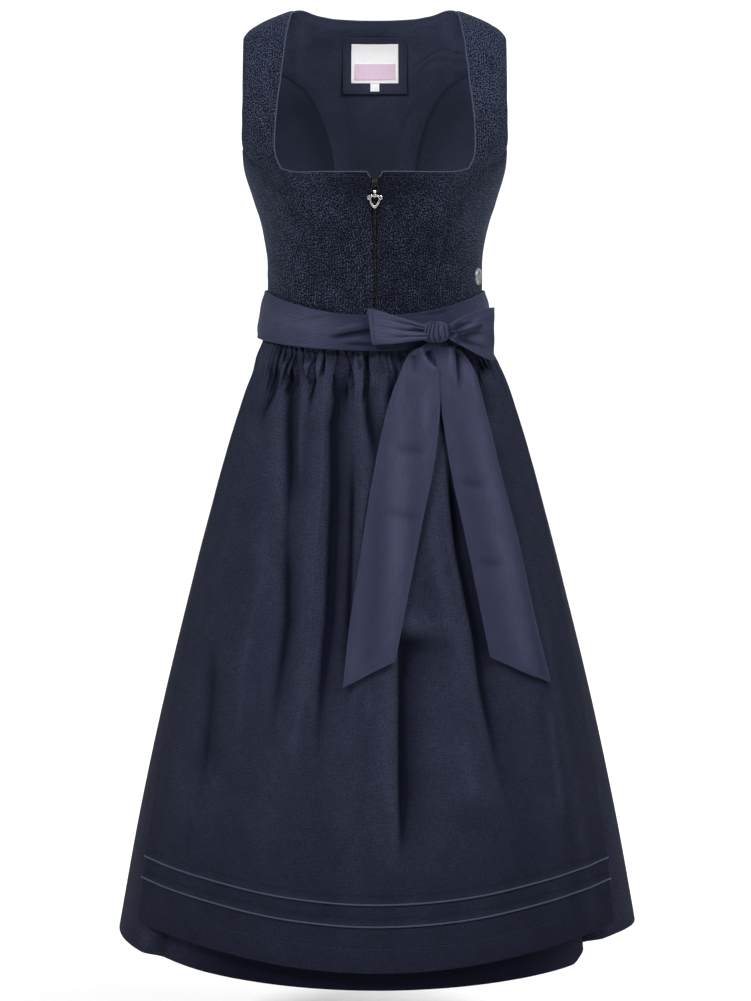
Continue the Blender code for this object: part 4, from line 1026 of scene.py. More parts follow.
class Finishes:
    """Every finish of the dress, made once."""

    def __init__(self) -> None:
        """Make the materials."""
        cloths = (
            ClothFinish("jacquard", (0.0003, 0.0005, 0.0025), (0.043, 0.052, 0.094), Weave.JACQUARD, 0.0014,
                        0.85, 0.09, depth=0.0007, gloss=0.06),
            ClothFinish("lining", (0.008, 0.0093, 0.0185), (0.054, 0.062, 0.108), Weave.SATIN, 0.0008,
                        0.62, 0.02, depth=0.00008, gloss=0.03),
            ClothFinish("skirting", (0.001, 0.0015, 0.005), (0.02, 0.022, 0.039), Weave.PLAIN, 0.0013,
                        0.85, 0.01, depth=0.00015, gloss=0.03),
            ClothFinish("aproning", (0.0015, 0.002, 0.006), (0.024, 0.027, 0.048), Weave.PLAIN, 0.001,
                        0.85, 0.01, depth=0.0002, gloss=0.03),
            ClothFinish("ribbon", (0.006, 0.0075, 0.02), (0.041, 0.045, 0.079), Weave.RIB, 0.0016,
                        0.7, 0.02, depth=0.0002, gloss=0.06),
            ClothFinish("band_ribbon", (0.006, 0.0075, 0.02), (0.041, 0.045, 0.079), Weave.COURSE, 0.0016,
                        0.7, 0.02, depth=0.0002, gloss=0.06),
            ClothFinish("cord", (0.015, 0.019, 0.037), (0.036, 0.044, 0.076), Weave.SATIN, 0.0009, 0.55, 0.05,
                        depth=0.0001, gloss=0.2),
            ClothFinish("thread", (0.008, 0.01, 0.024), (0.022, 0.027, 0.055), Weave.SATIN, 0.0005, 0.6,
                        depth=0.00005),
            ClothFinish("tape", (0.003, 0.003, 0.004), (0.01, 0.01, 0.013), Weave.PLAIN, 0.0008, 0.75,
                        depth=0.00012),
            ClothFinish("coil", (0.004, 0.004, 0.005), (0.014, 0.014, 0.017), Weave.SATIN, 0.0006, 0.35,
                        depth=0.00003, gloss=0.4),
            ClothFinish("white_label", (0.8, 0.79, 0.8), (0.93, 0.92, 0.93), Weave.PLAIN, 0.0005, 0.6,
                        depth=0.00006),
            ClothFinish("pink_block", (0.58, 0.42, 0.55), (0.78, 0.62, 0.74), Weave.PLAIN, 0.0005, 0.6,
                        depth=0.00006),
        )
        metals = (
            MetalFinish("enamel", (0.012, 0.012, 0.013), (0.006, 0.006, 0.007), 0.4, 0.28),
            MetalFinish("silver", (0.86, 0.85, 0.83), (0.4, 0.39, 0.38), 1.0, 0.2, 0.003),
            MetalFinish("pewter", (0.42, 0.44, 0.46), (0.1, 0.11, 0.12), 1.0, 0.38, 0.0016),
        )
        self.by_name = {finish.name: finish.make() for finish in (*cloths, *metals)}

    def __getitem__(self, name: str) -> bpy.types.Material:
        """Give a finish by name."""
        return self.by_name[name]


@dataclass
class Workshop:
    """Dresses each new piece: its finish and its body, and hides the solids it stands for."""

    finishes: Finishes

    def fit(self, made: Object, finish: str, slot: str, nodes: Sequence[str] = (),
            body: str = "dress") -> Object:
        """Give a piece its finish and its body.

        Args:
            made: The piece.
            finish: The finish's name.
            slot: The record's slot that it belongs to. Not used.
            nodes: The solids that it stands for.
            body: The body that it rides on.

        Returns:
            The piece.
        """
        made.data.materials.clear()
        made.data.materials.append(self.finishes[finish])
        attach(made, body)
        if nodes:
            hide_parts(*nodes)
        log.info("%s: %d points, in %s", made.name, len(made.data.vertices), finish)
        return made

    def sew(self, cloth: Cloth, finish: str, slot: str, node: str, flat: Pair, held: str,
            area: float | None = None) -> Object:
        """Args:
            cloth: The piece of cloth.
            finish: The finish's name.
            slot: The record's slot.
            node: The solid that it stands for.
            flat: The size it was cut to, width and length. Not used.
            held: How it is held. Not used.
            area: Its flat area, where the cut isn't a rectangle. Not used.

        Returns:
            The piece.
        """
        made = self.fit(cloth.build(), finish, slot, [node])
        return made

    def stitch(self, name: str, line: tuple[Array, Array], length: float = STITCH) -> Object:
        """Sew a row of stitches along a line."""
        return self.fit(stitches(name, *line, length=length), "thread", "piping")


# Bodice

def either_side(side: int, *grids: Array) -> list[Array]:
    """Keep a left panel's angles, heights and cells, or mirror them to the wearer's right (-1)."""
    if side > 0:
        return list(grids)
    return [-grids[0][:, ::-1], *(grid[:, ::-1] for grid in grids[1:])]


def spread(first: Array, last: Array, shares: Sequence[float]) -> Array:
    """Rows of values between two columns of ends."""
    return first[:, None] + (last - first)[:, None] * np.asarray(shares)


@dataclass
class Bodice:
    """The outer panels, the lining, the piped neck and its topstitching."""

    shop: Workshop
    fineness: int = 8
    neck_row: int = 8
    neck_bottom: float = -0.1905
    neck_corner: float = -0.1865
    fronts: Table = tabled("height guide_x outer_x", (
        (-345, 58, 83), (-325, 56, 77.5), (-300, 57, 74.8), (-275, 61, 78.5), (-250, 69, 86.5),
        (-226, 81, 98.5), (-207.5, 94, 111.2), (-198.5, 101, 119.5), (-190, 108.5, 128), (-174, 115, 145),
        (-164, 116.8, 153), (-157, 117.2, 156), (-126, 116.3, 156), (-92, 112.7, 156), (-60, 109, 156),
        (-34, 105.8, 156), (-14, 102.2, 156), (-3, 99.5, 156), (0, 98.5, 156)))
    zip_gap: Table = tabled("height gap", (
        (-380, 1.4), (-300, 2.2), (-250, 3), (-212, 4.2), (-198.5, 5), (-190, 9)))
    side_fronts: Table = tabled("x height", (
        (1000, -345), (1000, -322), (1000, -296), (1000, -270), (1000, -245), (1000, -220), (1000, -206),
        (1000, -198), (153.5, -191.5), (155.8, -174.5), (156, -161)))
    backs: Table = tabled("height edge_x", (
        (-345, 45), (-310, 44), (-265, 45.5), (-220, 48), (-180, 51), (-148, 57), (-118, 70), (-90, 89),
        (-66, 113), (-46, 142), (-39, 156), (-18, 156), (-4, 156), (0, 156)))
    side_backs: Table = tabled("x height", (
        (1000, -345), (1000, -306), (1000, -262), (1000, -224), (1000, -198), (154.5, -176), (156, -140),
        (156, -104), (156, -70), (156, -40.2)))

    def front_grid(self) -> tuple[Array, Array, Array]:
        """The left front's angles, heights and kept cells: it is cut away at the neck."""
        height, guide_x, row = self.fronts["height"], self.fronts["guide_x"], self.neck_row
        zip_x = smooth(height, self.zip_gap["height"], self.zip_gap["gap"])
        x = np.concatenate([spread(zip_x, guide_x, (0, 0.28, 0.56, 0.84)),
                            spread(guide_x, self.fronts["outer_x"], (0, 1 / 3, 2 / 3, 1))], 1)
        heights = np.repeat(height[:, None], x.shape[1], 1)
        rounding = np.clip((x[row] - 0.088) / 0.0205, 0, 1) ** 3
        heights[row] = between(self.neck_bottom, self.neck_corner, rounding)
        angle = BODICE.front(x, heights)
        heights[0] = waist_seam(angle[0])
        angle, heights = refine(angle, self.fineness), refine(heights, self.fineness)
        present = np.ones((angle.shape[0] - 1, angle.shape[1] - 1), bool)
        present[row * self.fineness:, :4 * self.fineness] = False
        return angle, np.minimum(heights, 0), present

    def side_front_grid(self) -> tuple[Array, Array]:
        """The left side front's angles and heights."""
        inner_h, inner_x = self.fronts["height"][:11], self.fronts["outer_x"][:11]
        shares = np.linspace(0, 1, 5)
        outer = BODICE.front(self.side_fronts["x"], self.side_fronts["height"])
        angle = spread(BODICE.front(inner_x, inner_h), outer, shares)
        height = spread(inner_h, self.side_fronts["height"], shares)
        height[self.neck_row, 0] = self.neck_corner
        height[0] = waist_seam(angle[0])
        return refine(angle, self.fineness), refine(height, self.fineness)

    def back_grid(self) -> tuple[Array, Array]:
        """The whole back's angles and heights."""
        shares = np.array((-1, -0.82, -0.627, -0.42, -0.2, 0, 0.2, 0.42, 0.627, 0.82, 1))
        x = self.backs["edge_x"][:, None] * -shares
        top_x = np.abs(shares) * BODICE.armhole_x
        top = np.where(top_x < BODICE.neck_x, BODICE.nape_height * (1 - (top_x / BODICE.neck_x) ** 2), 0.0)
        height = between(WAIST_SEAM, top, (self.backs["height"][:, None] - WAIST_SEAM) / -WAIST_SEAM)
        angle = BODICE.back(x, height - 1e-6)
        angle, height = refine(angle, self.fineness), refine(height, self.fineness)
        return angle, np.minimum(height, 0)

    def side_back_grid(self) -> tuple[Array, Array]:
        """The left side back's angles and heights."""
        inner_h, inner_x = self.backs["height"][:10], self.backs["edge_x"][:10]
        outer = BODICE.back(self.side_backs["x"], self.side_backs["height"])
        angle = spread(outer, BODICE.back(inner_x, inner_h), np.linspace(0, 1, 5))
        height = spread(self.side_backs["height"], inner_h, np.linspace(0, 1, 5))
        return refine(angle, self.fineness), refine(height, self.fineness)

    def relief(self, seams: str, seed: int, cloth: Cloth) -> Array:
        """The cloth's fall: a groove along each seam, soft drag lines and the jacquard's own swell.

        Args:
            seams: The panel's seamed edges.
            seed: The seed of its drag lines.
            cloth: The panel.

        Returns:
            The relief.
        """
        groove = -0.0006 * bell(cloth.edge(seams), 0.0012)
        drag = 0.0007 * rumple(cloth.u + 0.4 * cloth.v, cloth.v, (0.03, 0.055), seed)
        drag = drag + 0.0005 * rumple(cloth.u, cloth.v + 0.5 * cloth.u, (0.045, 0.016), seed + 1)
        swell = 0.00012 * rumple(cloth.u, cloth.v, (0.0034, 0.0042), seed + 2)
        return groove + (drag + swell) * ease(cloth.edge("lrbt"), 0, 0.012)

    def lining_relief(self, seed: int, cloth: Cloth) -> Array:
        """The lining's fall: seam grooves and soft slack wrinkles, always inward of the outer cloth.

        Args:
            seed: The seed of its wrinkles.
            cloth: The panel.

        Returns:
            The relief.
        """
        groove = 0.0005 * bell(cloth.edge("lr"), 0.0014)
        across, along = cloth.u + 0.7 * cloth.v, cloth.v - 0.5 * cloth.u
        slack = 0.0004 * (1 + rumple(across, along, (0.018, 0.05), seed))
        return groove - (0.0006 + slack) * ease(cloth.edge("lrbt"), 0.001, 0.014)

    def make(self) -> None:
        """Build every panel, the lining, the piping and the stitching."""
        for side, word in ((1, "left"), (-1, "right")):
            grid = either_side(side, *self.front_grid())
            front = self.panel(f"front_{word}", grid, 20 + side, (0.165, 0.385), 0.0285, side)
            self.pipe_neck(front, side, word)
            grid = either_side(side, *self.side_front_grid())
            self.panel(f"side_front_{word}", grid, 30 + side, (0.125, 0.2), 0.0205, side)
            grid = either_side(side, *self.side_back_grid())
            self.panel(f"side_back_{word}", grid, 40 + side, (0.15, 0.3), 0.037)
            # The side backs' lining gets more painted shade low down, most on the wearer's right
            deeper = 0.36 if side > 0 else 0.66
            self.line(f"lining_side_back_{word}", grid, 50 + side, (0.15, 0.3), 0.036, deeper)
        grid = self.back_grid()
        self.panel("back", grid, 60, (0.32, 0.37), 0.062)
        self.line("lining_back", grid, 63, (0.32, 0.37), 0.061)

    def panel(self, name: str, grid: Sequence[Array], seed: int, flat: Pair, area: float,
              side: int = 0) -> Cloth:
        """Sew one outer panel. A front has its kept cells, no turned edge, and its zip edge isn't a seam.

        Args:
            name: The solid that it stands for.
            grid: Its angles and heights, and a front's kept cells.
            seed: The seed of its drag lines.
            flat: The size it was cut to.
            area: Its flat area.
            side: 1 or -1 for the wearer's left or right, where its painted light and shade vary.

        Returns:
            The cloth.
        """
        a, b, *present = grid
        seams = ("r" if side > 0 else "l") if present else "lr"
        cloth = Cloth(f"{name}_cloth", BODICE, a, b, BODICE_WALL, present=present[0] if present else None,
                      relief=partial(self.relief, seams, seed), turned="" if present else "t")
        # Fronts and side fronts get painted light on the straps and sides and painted shade over the bust
        if side:
            cloth.shade = self.tone(cloth, side)
        self.shop.sew(cloth, "jacquard", "bodice_cloth", name, flat, "stretched", area)
        return cloth

    def tone(self, cloth: Cloth, side: int) -> Array:
        """Painted light and shade: lighter straps and sides, darker over the bust and, at the left, below it.

        Args:
            cloth: The panel.
            side: The wearer's side, 1 for left.

        Returns:
            The painted shade, below 0 where light is painted.
        """
        height, away = cloth.points[..., 2], np.abs(cloth.points[..., 0])
        strap = by_height(height, -1.15 if side > 0 else -0.55, 0.0, 0.07, 0.165)
        bust = (0.76 if side > 0 else 0.64) * ease(-height, 0.08, 0.17) * (1 - ease(-height, 0.205, 0.245))
        below = 0.2 * ease(-height, 0.205, 0.245) if side > 0 else 0.0
        return strap + 0.04 + (bust + below) * (1 - ease(away, 0.05, 0.118)) - 0.1 * ease(away, 0.09, 0.13)

    def line(self, name: str, grid: Sequence[Array], seed: int, flat: Pair, area: float,
             deeper: float = 0.0) -> None:
        """Sew in a panel of lining, with painted shade that deepens lower down and a dark line along its
        seams.

        Args:
            name: The solid that it stands for.
            grid: Its angles and heights.
            seed: The seed of its wrinkles.
            flat: The size it was cut to.
            area: Its flat area.
            deeper: How much more shade is painted on it than on the back's lining, low down.
        """
        a, b = grid
        cloth = Cloth(f"{name}_cloth", BODICE, a, b, LINING_WALL, -(BODICE_WALL + LINING_GAP),
                      relief=partial(self.lining_relief, seed), cavity=0.2)
        # Painted light at the top and painted shade lower down, then a dark line along the seams
        cloth.shade = by_height(b, -0.24, 0.32, 0.02, 0.11) + by_height(b, 0.5 * deeper, deeper, 0.07, 0.12)
        cloth.shade = cloth.shade + 0.55 * bell(cloth.edge("lr"), 0.0016)
        self.shop.sew(cloth, "lining", "lining_cloth", name, flat, "stretched", area)

    def pipe_neck(self, front: Cloth, side: int, word: str) -> None:
        """Lay the cord along half of the neck, with a row of stitches just inside it.

        Args:
            front: The front panel.
            side: 1 for the wearer's left, -1 for the right.
            word: The side's name.
        """
        fine, columns = self.fineness, front.a.shape[1]
        row = self.neck_row * fine
        ring = [(r, 0) for r in range(row - fine + 2, row)] + [(row, c) for c in range(4 * fine)]
        ring += [(r, 4 * fine) for r in range(row, front.a.shape[0])]
        rows, cols = np.array(ring).T
        cols = cols if side > 0 else columns - 1 - cols
        edge = front.outer[rows, cols] - front.normals[rows, cols] * BODICE_WALL / 2
        normal = front.normals[rows, cols]
        away = unit(np.cross(normal, np.gradient(edge, axis=0))) * side
        weights = np.array([1, 4, 6, 4, 1]) / 16
        smoothed = [np.convolve(np.pad(part, 2, "edge"), weights, "valid") for part in away.T]
        away = unit(np.stack(smoothed, 1))
        cord = tube(f"neck_piping_{word}_cord", edge + away * (0.8 * CORD_RADIUS), 0.8 * CORD_RADIUS, 12)
        self.shop.fit(cord, "cord", "piping", [f"neck_piping_{word}"])
        line = front.outer[rows, cols] - away * 0.0052
        near, sewn = self.on_front(front, line)
        self.shop.stitch(f"neck_stitches_{word}", (near, sewn), 0.0022)

    def on_front(self, front: Cloth, line: Array) -> tuple[Array, Array]:
        """Drop a line onto the nearest points of the front's outer skin.

        Args:
            front: The front panel.
            line: The line.

        Returns:
            The points moved along the nearest normals, and those normals.
        """
        skin, normals = front.outer.reshape(-1, 3), front.normals.reshape(-1, 3)
        nearest = np.array([np.argmin(((skin - point) ** 2).sum(1)) for point in line])
        lift = ((skin[nearest] - line) * normals[nearest]).sum(1, keepdims=True)
        return line + normals[nearest] * lift, normals[nearest]


# Labels

@dataclass
class Labels:
    """The cloth patch inside the nape, with a blank label and a blank size tab."""

    shop: Workshop
    patch: Triple = (0.04, -0.1052, -0.0534)
    label: Triple = (0.0295, -0.0965, -0.0609)
    tab: Triple = (0.0055, -0.1038, -0.0968)
    block: Triple = (0.0255, -0.0935, -0.08)
    depth: float = 0.0066
    stitched: float = 0.0028
    cell: float = 0.0012

    def piece(self, name: str, size: Triple, out: float, wall: float,
              turned: str = "lrbt") -> Cloth:
        """A small rectangle of cloth on the lining, whose outer skin looks into the dress.

        Args:
            name: Its name.
            size: Half width, bottom and top.
            out: How far its face stands off the lining.
            wall: Its thickness.
            turned: Its turned edges.

        Returns:
            The cloth.
        """
        half, low, high = size
        x, height = np.meshgrid(*(even(first, last, self.cell, (first + self.stitched, last - self.stitched))
                                  for first, last in ((-half, half), (low, high))))

        def inside(a: Array, b: Array) -> Array:
            """The lining's inner face, with the bodice's columns turned round."""
            angle = BODICE.back(a, b)
            points = BODICE(angle, b) - facing(BODICE, angle, b) * (self.depth + out)
            level = np.broadcast_to(points[..., 2].mean(1, keepdims=True), b.shape)
            return np.concatenate([points[..., :2], level[..., None]], -1)

        def pucker(cloth: Cloth) -> Array:
            """A stitched channel near the edge and a soft buckle."""
            return (-0.00025 * (turned != "") * bell(cloth.edge("lrbt") - self.stitched, 0.0007)
                    + 0.0002 * rumple(cloth.u, cloth.v, (0.012, 0.014), len(name)))
        return Cloth(name, inside, x, height, wall, relief=pucker, turned=turned)

    def make(self) -> None:
        """Build the patch, the label, its pale block and the tab, with stitches round the patch."""
        patch = self.piece("label_patch_cloth", self.patch, 0.0006, 0.0009)
        patch.shade = -0.35
        self.shop.sew(patch, "ribbon", "apron_cloth", "label_patch", (0.08, 0.072), "laid")
        label = self.piece("label_cloth", self.label, 0.0016, 0.0007)
        self.shop.sew(label, "white_label", "label", "label", (0.058, 0.049), "laid")
        tab = self.piece("size_tab_cloth", self.tab, 0.0014, 0.0006)
        self.shop.sew(tab, "white_label", "label", "size_tab", (0.011, 0.01), "folded")
        block = self.piece("label_block", self.block, 0.0022, 0.0004, "")
        made = self.shop.fit(block.build(), "pink_block", "label")
        for word, edge in (("low", "b"), ("high", "t"), ("near", "l"), ("far", "r")):
            self.shop.stitch(f"patch_stitches_{word}", patch.beside(edge, self.stitched), 0.0016)


# Zip, pull and charm

@dataclass
class Zip:
    """The tape and coil behind the front's edges, the slider, its pull and the heart charm."""

    shop: Workshop
    top: float = -0.194
    tape_half: float = 0.013
    tape_behind: float = 0.0022
    coil_x: float = 0.00125
    coil_pitch: float = 0.00125
    coil_back: float = 0.00125
    coil_half: Pair = (0.00108, 0.00052)
    coil_wire: float = 0.0003
    slider_z: float = -0.2025
    slider_half: Triple = (0.0034, 0.0009, 0.0045)
    bridge: Pair = (-0.1988, -0.203)
    bridge_proud: float = 0.004
    pull_z: float = -0.2007
    pull_proud: float = 0.0024
    pull_wire: float = 0.00075
    pull_length: float = 0.0115
    pull_halves: Pair = (0.0026, 0.0046)
    bail: Pair = (0.00115, 0.0019)
    heart: tuple[Pair, ...] = (
        (0.9, -1.5), (1.3, -3.4), (3.2, -3.7), (4.8, -4.8), (6.2, -4.4), (8.0, -5.2), (9.2, -6.0),
        (8.2, -7.0), (8.8, -8.6), (7.4, -9.2), (6.3, -9.8), (5.7, -12.2), (3.6, -16.2), (0.0, -19.4))
    hole: tuple[Pair, ...] = (
        (0.0, -6.8), (1.6, -5.9), (3.3, -6.5), (4.2, -8.6), (3.6, -11.4), (1.9, -14.4), (0.0, -16.6))

    @property
    def low(self) -> float:
        """The height of the waist seam at the centre front."""
        return float(waist_seam(np.array(0.0)))

    def strip(self, name: str, half: float, out: float, wall: float) -> Cloth:
        """A strip of tape behind the zip's opening."""
        x, height = np.meshgrid(np.linspace(-half, half, 17), even(self.low, self.top, 0.002))
        return Cloth(name, BODICE, BODICE.front(x, height), height, wall, out, turned="lr")

    def coil(self, sign: int) -> Object:
        """One side's coil: a helix up the zip, flattened, at the tape's edge.

        Args:
            sign: 1 for the wearer's left, -1 for the right.

        Returns:
            The object.
        """
        low = self.low + 0.001
        turns = (self.slider_z - 0.003 - low) / self.coil_pitch
        turn = np.linspace(0, turns * 2 * math.pi, int(turns * 14))
        z = low + (turn + (0 if sign > 0 else math.pi)) / (2 * math.pi) * self.coil_pitch
        centre = BODICE(np.zeros_like(z), z)
        x = sign * self.coil_x + self.coil_half[0] * np.cos(turn)
        y = centre[:, 1] + BODICE_WALL + self.coil_back + self.coil_half[1] * np.sin(turn)
        return tube(f"zip_coil_{'left' if sign > 0 else 'right'}", np.stack([x, y, z], 1), self.coil_wire, 6)

    def slider(self, face: float) -> Object:
        """The slider: rounded cross sections (a super-ellipse) up a body that narrows to its tail.

        Args:
            face: The y of the bodice's face there.

        Returns:
            The object.
        """
        half_x, half_y, half_z = self.slider_half
        t = np.linspace(-1, 1, 33)
        turn = np.linspace(0, 2 * math.pi, 33)[:-1]
        cap = np.clip(1 - np.abs(t) ** 6, 0.02, 1) ** 0.5
        wide = half_x * (0.78 + 0.22 * ease(t, -0.6, 0.5)) * cap
        deep = half_y * cap
        c, s = np.cos(turn), np.sin(turn)
        x = wide[:, None] * np.sign(c) * np.abs(c) ** 0.5
        y = face - 0.0004 + half_y + deep[:, None] * np.sign(s) * np.abs(s) ** 0.5
        z = self.slider_z + half_z * t[:, None] + 0 * x
        return loft("zip_slider_body", np.stack([x, y, z], -1))

    def pull_path(self, hinge: Vector) -> Array:
        """The pull's wire: a frame that widens downwards, with round corners (quadratic arcs)."""
        top, low = self.pull_halves
        corners = np.array([(-top, 0), (top, 0), (low, -self.pull_length), (-low, -self.pull_length)])
        points = []
        for i in range(4):
            before, at, after = corners[i - 1], corners[i], corners[(i + 1) % 4]
            start, end = at + unit(before - at) * 0.0014, at + unit(after - at) * 0.0014
            for t in np.linspace(0, 1, 7):
                points.append(start * (1 - t) ** 2 + at * 2 * t * (1 - t) + end * t * t)
        points = np.array(points)
        return np.stack([points[:, 0] + hinge.x, np.full(len(points), hinge.y), points[:, 1] + hinge.z], 1)

    def charm(self, bar: Vector) -> Object:
        """The open heart with two tines, cut from plate with rounded edges.

        Args:
            bar: The middle of the pull's bottom bar, which it hangs from.

        Returns:
            The object.
        """
        data = bpy.data.curves.new("charm", "CURVE")
        data.dimensions, data.fill_mode = "2D", "BOTH"
        data.extrude, data.bevel_depth, data.bevel_resolution, data.offset = 0.0003, 0.0006, 4, -0.0006
        for half in (self.heart, self.hole):
            left = [(-x, z) for x, z in reversed(half) if x > 0]
            ring = np.array([*half, *left]) / 1000
            count = len(ring)
            at = np.linspace(0, count, count * 6, endpoint=False)
            known = np.arange(-3, count + 4, dtype=float)
            wrapped = ring[np.arange(-3, count + 4) % count]
            fine = np.stack([smooth(at, known, wrapped[:, k]) for k in range(2)], 1)
            run = data.splines.new("POLY")
            run.points.add(len(fine) - 1)
            rest = np.tile([0.0, 1.0], (len(fine), 1))
            run.points.foreach_set("co", np.column_stack([fine, rest]).ravel())
            run.use_cyclic_u = True
        flat = put("charm", data)
        bpy.context.view_layer.update()
        mesh = bpy.data.meshes.new_from_object(flat.evaluated_get(bpy.context.evaluated_depsgraph_get()))
        bpy.data.objects.remove(flat)
        x, z, y = read(mesh.vertices, "co", 3).T
        faces = [tuple(polygon.vertices) for polygon in mesh.polygons]
        made = mesh_object("heart_charm", np.stack([x + bar.x, y + bar.y, z + bar.z], 1), faces, None, 40)
        return outward(made)

    def make(self) -> None:
        """Build the zip and what hangs from it."""
        tape = self.strip("zip_tape_cloth", self.tape_half, -(BODICE_WALL + self.tape_behind), 0.0008)
        self.shop.sew(tape, "tape", "zip_black", "zip_tape", (0.026, 0.172), "laid")
        for sign in (1, -1):
            self.shop.fit(self.coil(sign), "coil", "zip_black", ["zip_chain"] if sign > 0 else [])
        face = float(BODICE(np.array(0.0), np.array(self.slider_z))[1])
        self.shop.fit(self.slider(face), "enamel", "zip_metal", ["zip_slider"])
        high, low = self.bridge
        turn = np.linspace(0, math.pi, 25)
        arch = np.stack([0 * turn, face + 0.0006 - (self.bridge_proud + 0.0006) * np.sin(turn) ** 0.6,
                         (high + low) / 2 + (high - low) / 2 * np.cos(turn)], 1)
        self.shop.fit(tube("zip_slider_bridge", arch, 0.0005, 10), "enamel", "zip_metal")
        hinge = Vector((0, face - self.pull_proud, self.pull_z))
        pull = tube("zip_pull_wire", self.pull_path(hinge), self.pull_wire, 12, closed=True, up=(0, 1, 0))
        self.shop.fit(pull, "enamel", "zip_metal", ["zip_pull"], "zip_pull")
        bar = hinge - Vector((0, 0, self.pull_length))
        self.shop.fit(self.charm(bar), "silver", "silver", ["zip_charm"], "zip_charm")
        turn = np.linspace(0, 2 * math.pi, 40, endpoint=False)
        middle, wire = sum(self.bail) / 2, (self.bail[1] - self.bail[0]) / 2
        ring = np.stack([0 * turn + bar.x, bar.y + middle * np.cos(turn), bar.z + middle * np.sin(turn)], 1)
        bail = tube("charm_bail", ring, wire * 1.1, 12, closed=True, flat=3.6, up=(1, 0, 0))
        self.shop.fit(bail, "silver", "silver", body="zip_charm")


# Badge

@dataclass
class Badge:
    """A round domed badge at the wearer's left waist."""

    shop: Workshop
    height: float = -0.31
    angle: float = math.radians(69)
    profile: Table = tabled("radius out", (
        (0, 2.7), (2, 2.6), (4, 2.4), (6, 2.1), (7, 1.7), (7.6, 2), (8.4, 2.5), (9.2, 2.4), (9.9, 1.5),
        (9.8, 0.4), (9.3, 0), (0.2, 0)))

    def make(self) -> None:
        """Turn the profile about the badge's axis, with a beaded rim: out + 0.25 mm cos(28 turns)."""
        place = BODICE(np.array(self.angle), np.array(self.height))
        normal = facing(BODICE, np.array(self.angle), np.array(self.height))
        side = unit(np.cross([0, 0, 1.0], normal))
        up = np.cross(normal, side)
        rows = np.linspace(0, len(self.profile["radius"]) - 1, 67)
        known = np.arange(len(self.profile["radius"]), dtype=float)
        radius, out = (smooth(rows, known, self.profile[name])[:, None] for name in ("radius", "out"))
        turn = np.linspace(0, 2 * math.pi, 168, endpoint=False)
        beads = 0.00025 * np.cos(28 * turn) * bell(rows[:, None] - 6.4, 1.1)
        petals = 0.00022 * np.cos(8 * turn) * bell(rows[:, None] - 2.2, 1.2)
        radius = np.maximum(radius, 0.00002)
        points = (place + normal * (out + beads + petals + 0.0003)[..., None]
                  + side * (radius * np.cos(turn))[..., None] + up * (radius * np.sin(turn))[..., None])
        self.shop.fit(loft("badge_button", points), "pewter", "pewter", ["badge"])


# Skirt and apron

def stacked(low: Array, lift: Array, zone: float, high: Array, shares: Array) -> Array:
    """Heights of rows that follow the hem through its zone, with three for its edge, then rise to `high`."""
    lift = [0, 0.0003, 0.0007, *lift[1:]]
    return np.concatenate([low + up for up in lift] + [between(low + zone, high, s) for s in shares])


@dataclass
class Skirt:
    """Two gathered panels that meet at the side seams, with a stitched hem."""

    shop: Workshop
    hem_fold: float = 0.03
    hem_zone: float = 0.05
    panels: tuple[tuple[str, int, int, Pair, float], ...] = (
        ("skirt_front", -90, 280, (0.93, 0.775), 0.6), ("skirt_back", 90, 330, (1.05, 0.775), 0.64))

    def make(self) -> None:
        """Build both panels and the row of stitches above each hem."""
        for name, first, columns, flat, area in self.panels:
            angle = np.radians(np.linspace(first, first + 180, columns + 1))[None]
            low, high = SKIRT.hem_height(angle) - 0.0035 * ease(np.cos(angle), 0.5, 0.75), waist_seam(angle)
            lift = even(0, self.hem_zone, 0.005, (self.hem_fold,))
            share = np.linspace(0, 1, 120)[1:] ** 0.92
            height = stacked(low, lift, self.hem_zone, high, share)
            angle = np.repeat(angle, len(height), 0)
            below = SKIRT.apron_hem(angle) - height
            # Painted shadow on the front's strip below the apron's hem, which the apron overhangs
            covered = 0.85 * ease(np.cos(angle), 0.6, 0.86) * ease(below, -0.01, 0.004)
            cloth = Cloth(f"{name}_cloth", SKIRT.skirt, angle, height, SKIRT_WALL, relief=self.relief,
                          turned="b", shade=covered)
            self.shop.sew(cloth, "skirting", "skirt_cloth", name, flat, "gathered", area)
            self.shop.stitch(f"{name}_hem_stitches", cloth.beside("b", self.hem_fold), 0.0028)

    def relief(self, cloth: Cloth) -> Array:
        """The stitched hem line's dip, the seams' grooves and soft rumples.

        Args:
            cloth: The panel.

        Returns:
            The relief.
        """
        line = -0.0003 * bell(cloth.v - self.hem_fold, 0.0011)
        seam = -0.0012 * bell(cloth.edge("lr"), 0.0025)
        soft = 0.0012 * rumple(cloth.u, cloth.v, (0.05, 0.17), 71)
        soft = soft + 0.0004 * rumple(cloth.u, cloth.v, (0.02, 0.03), 72)
        return line + seam + soft * ease(cloth.edge("lrbt"), 0, 0.05)


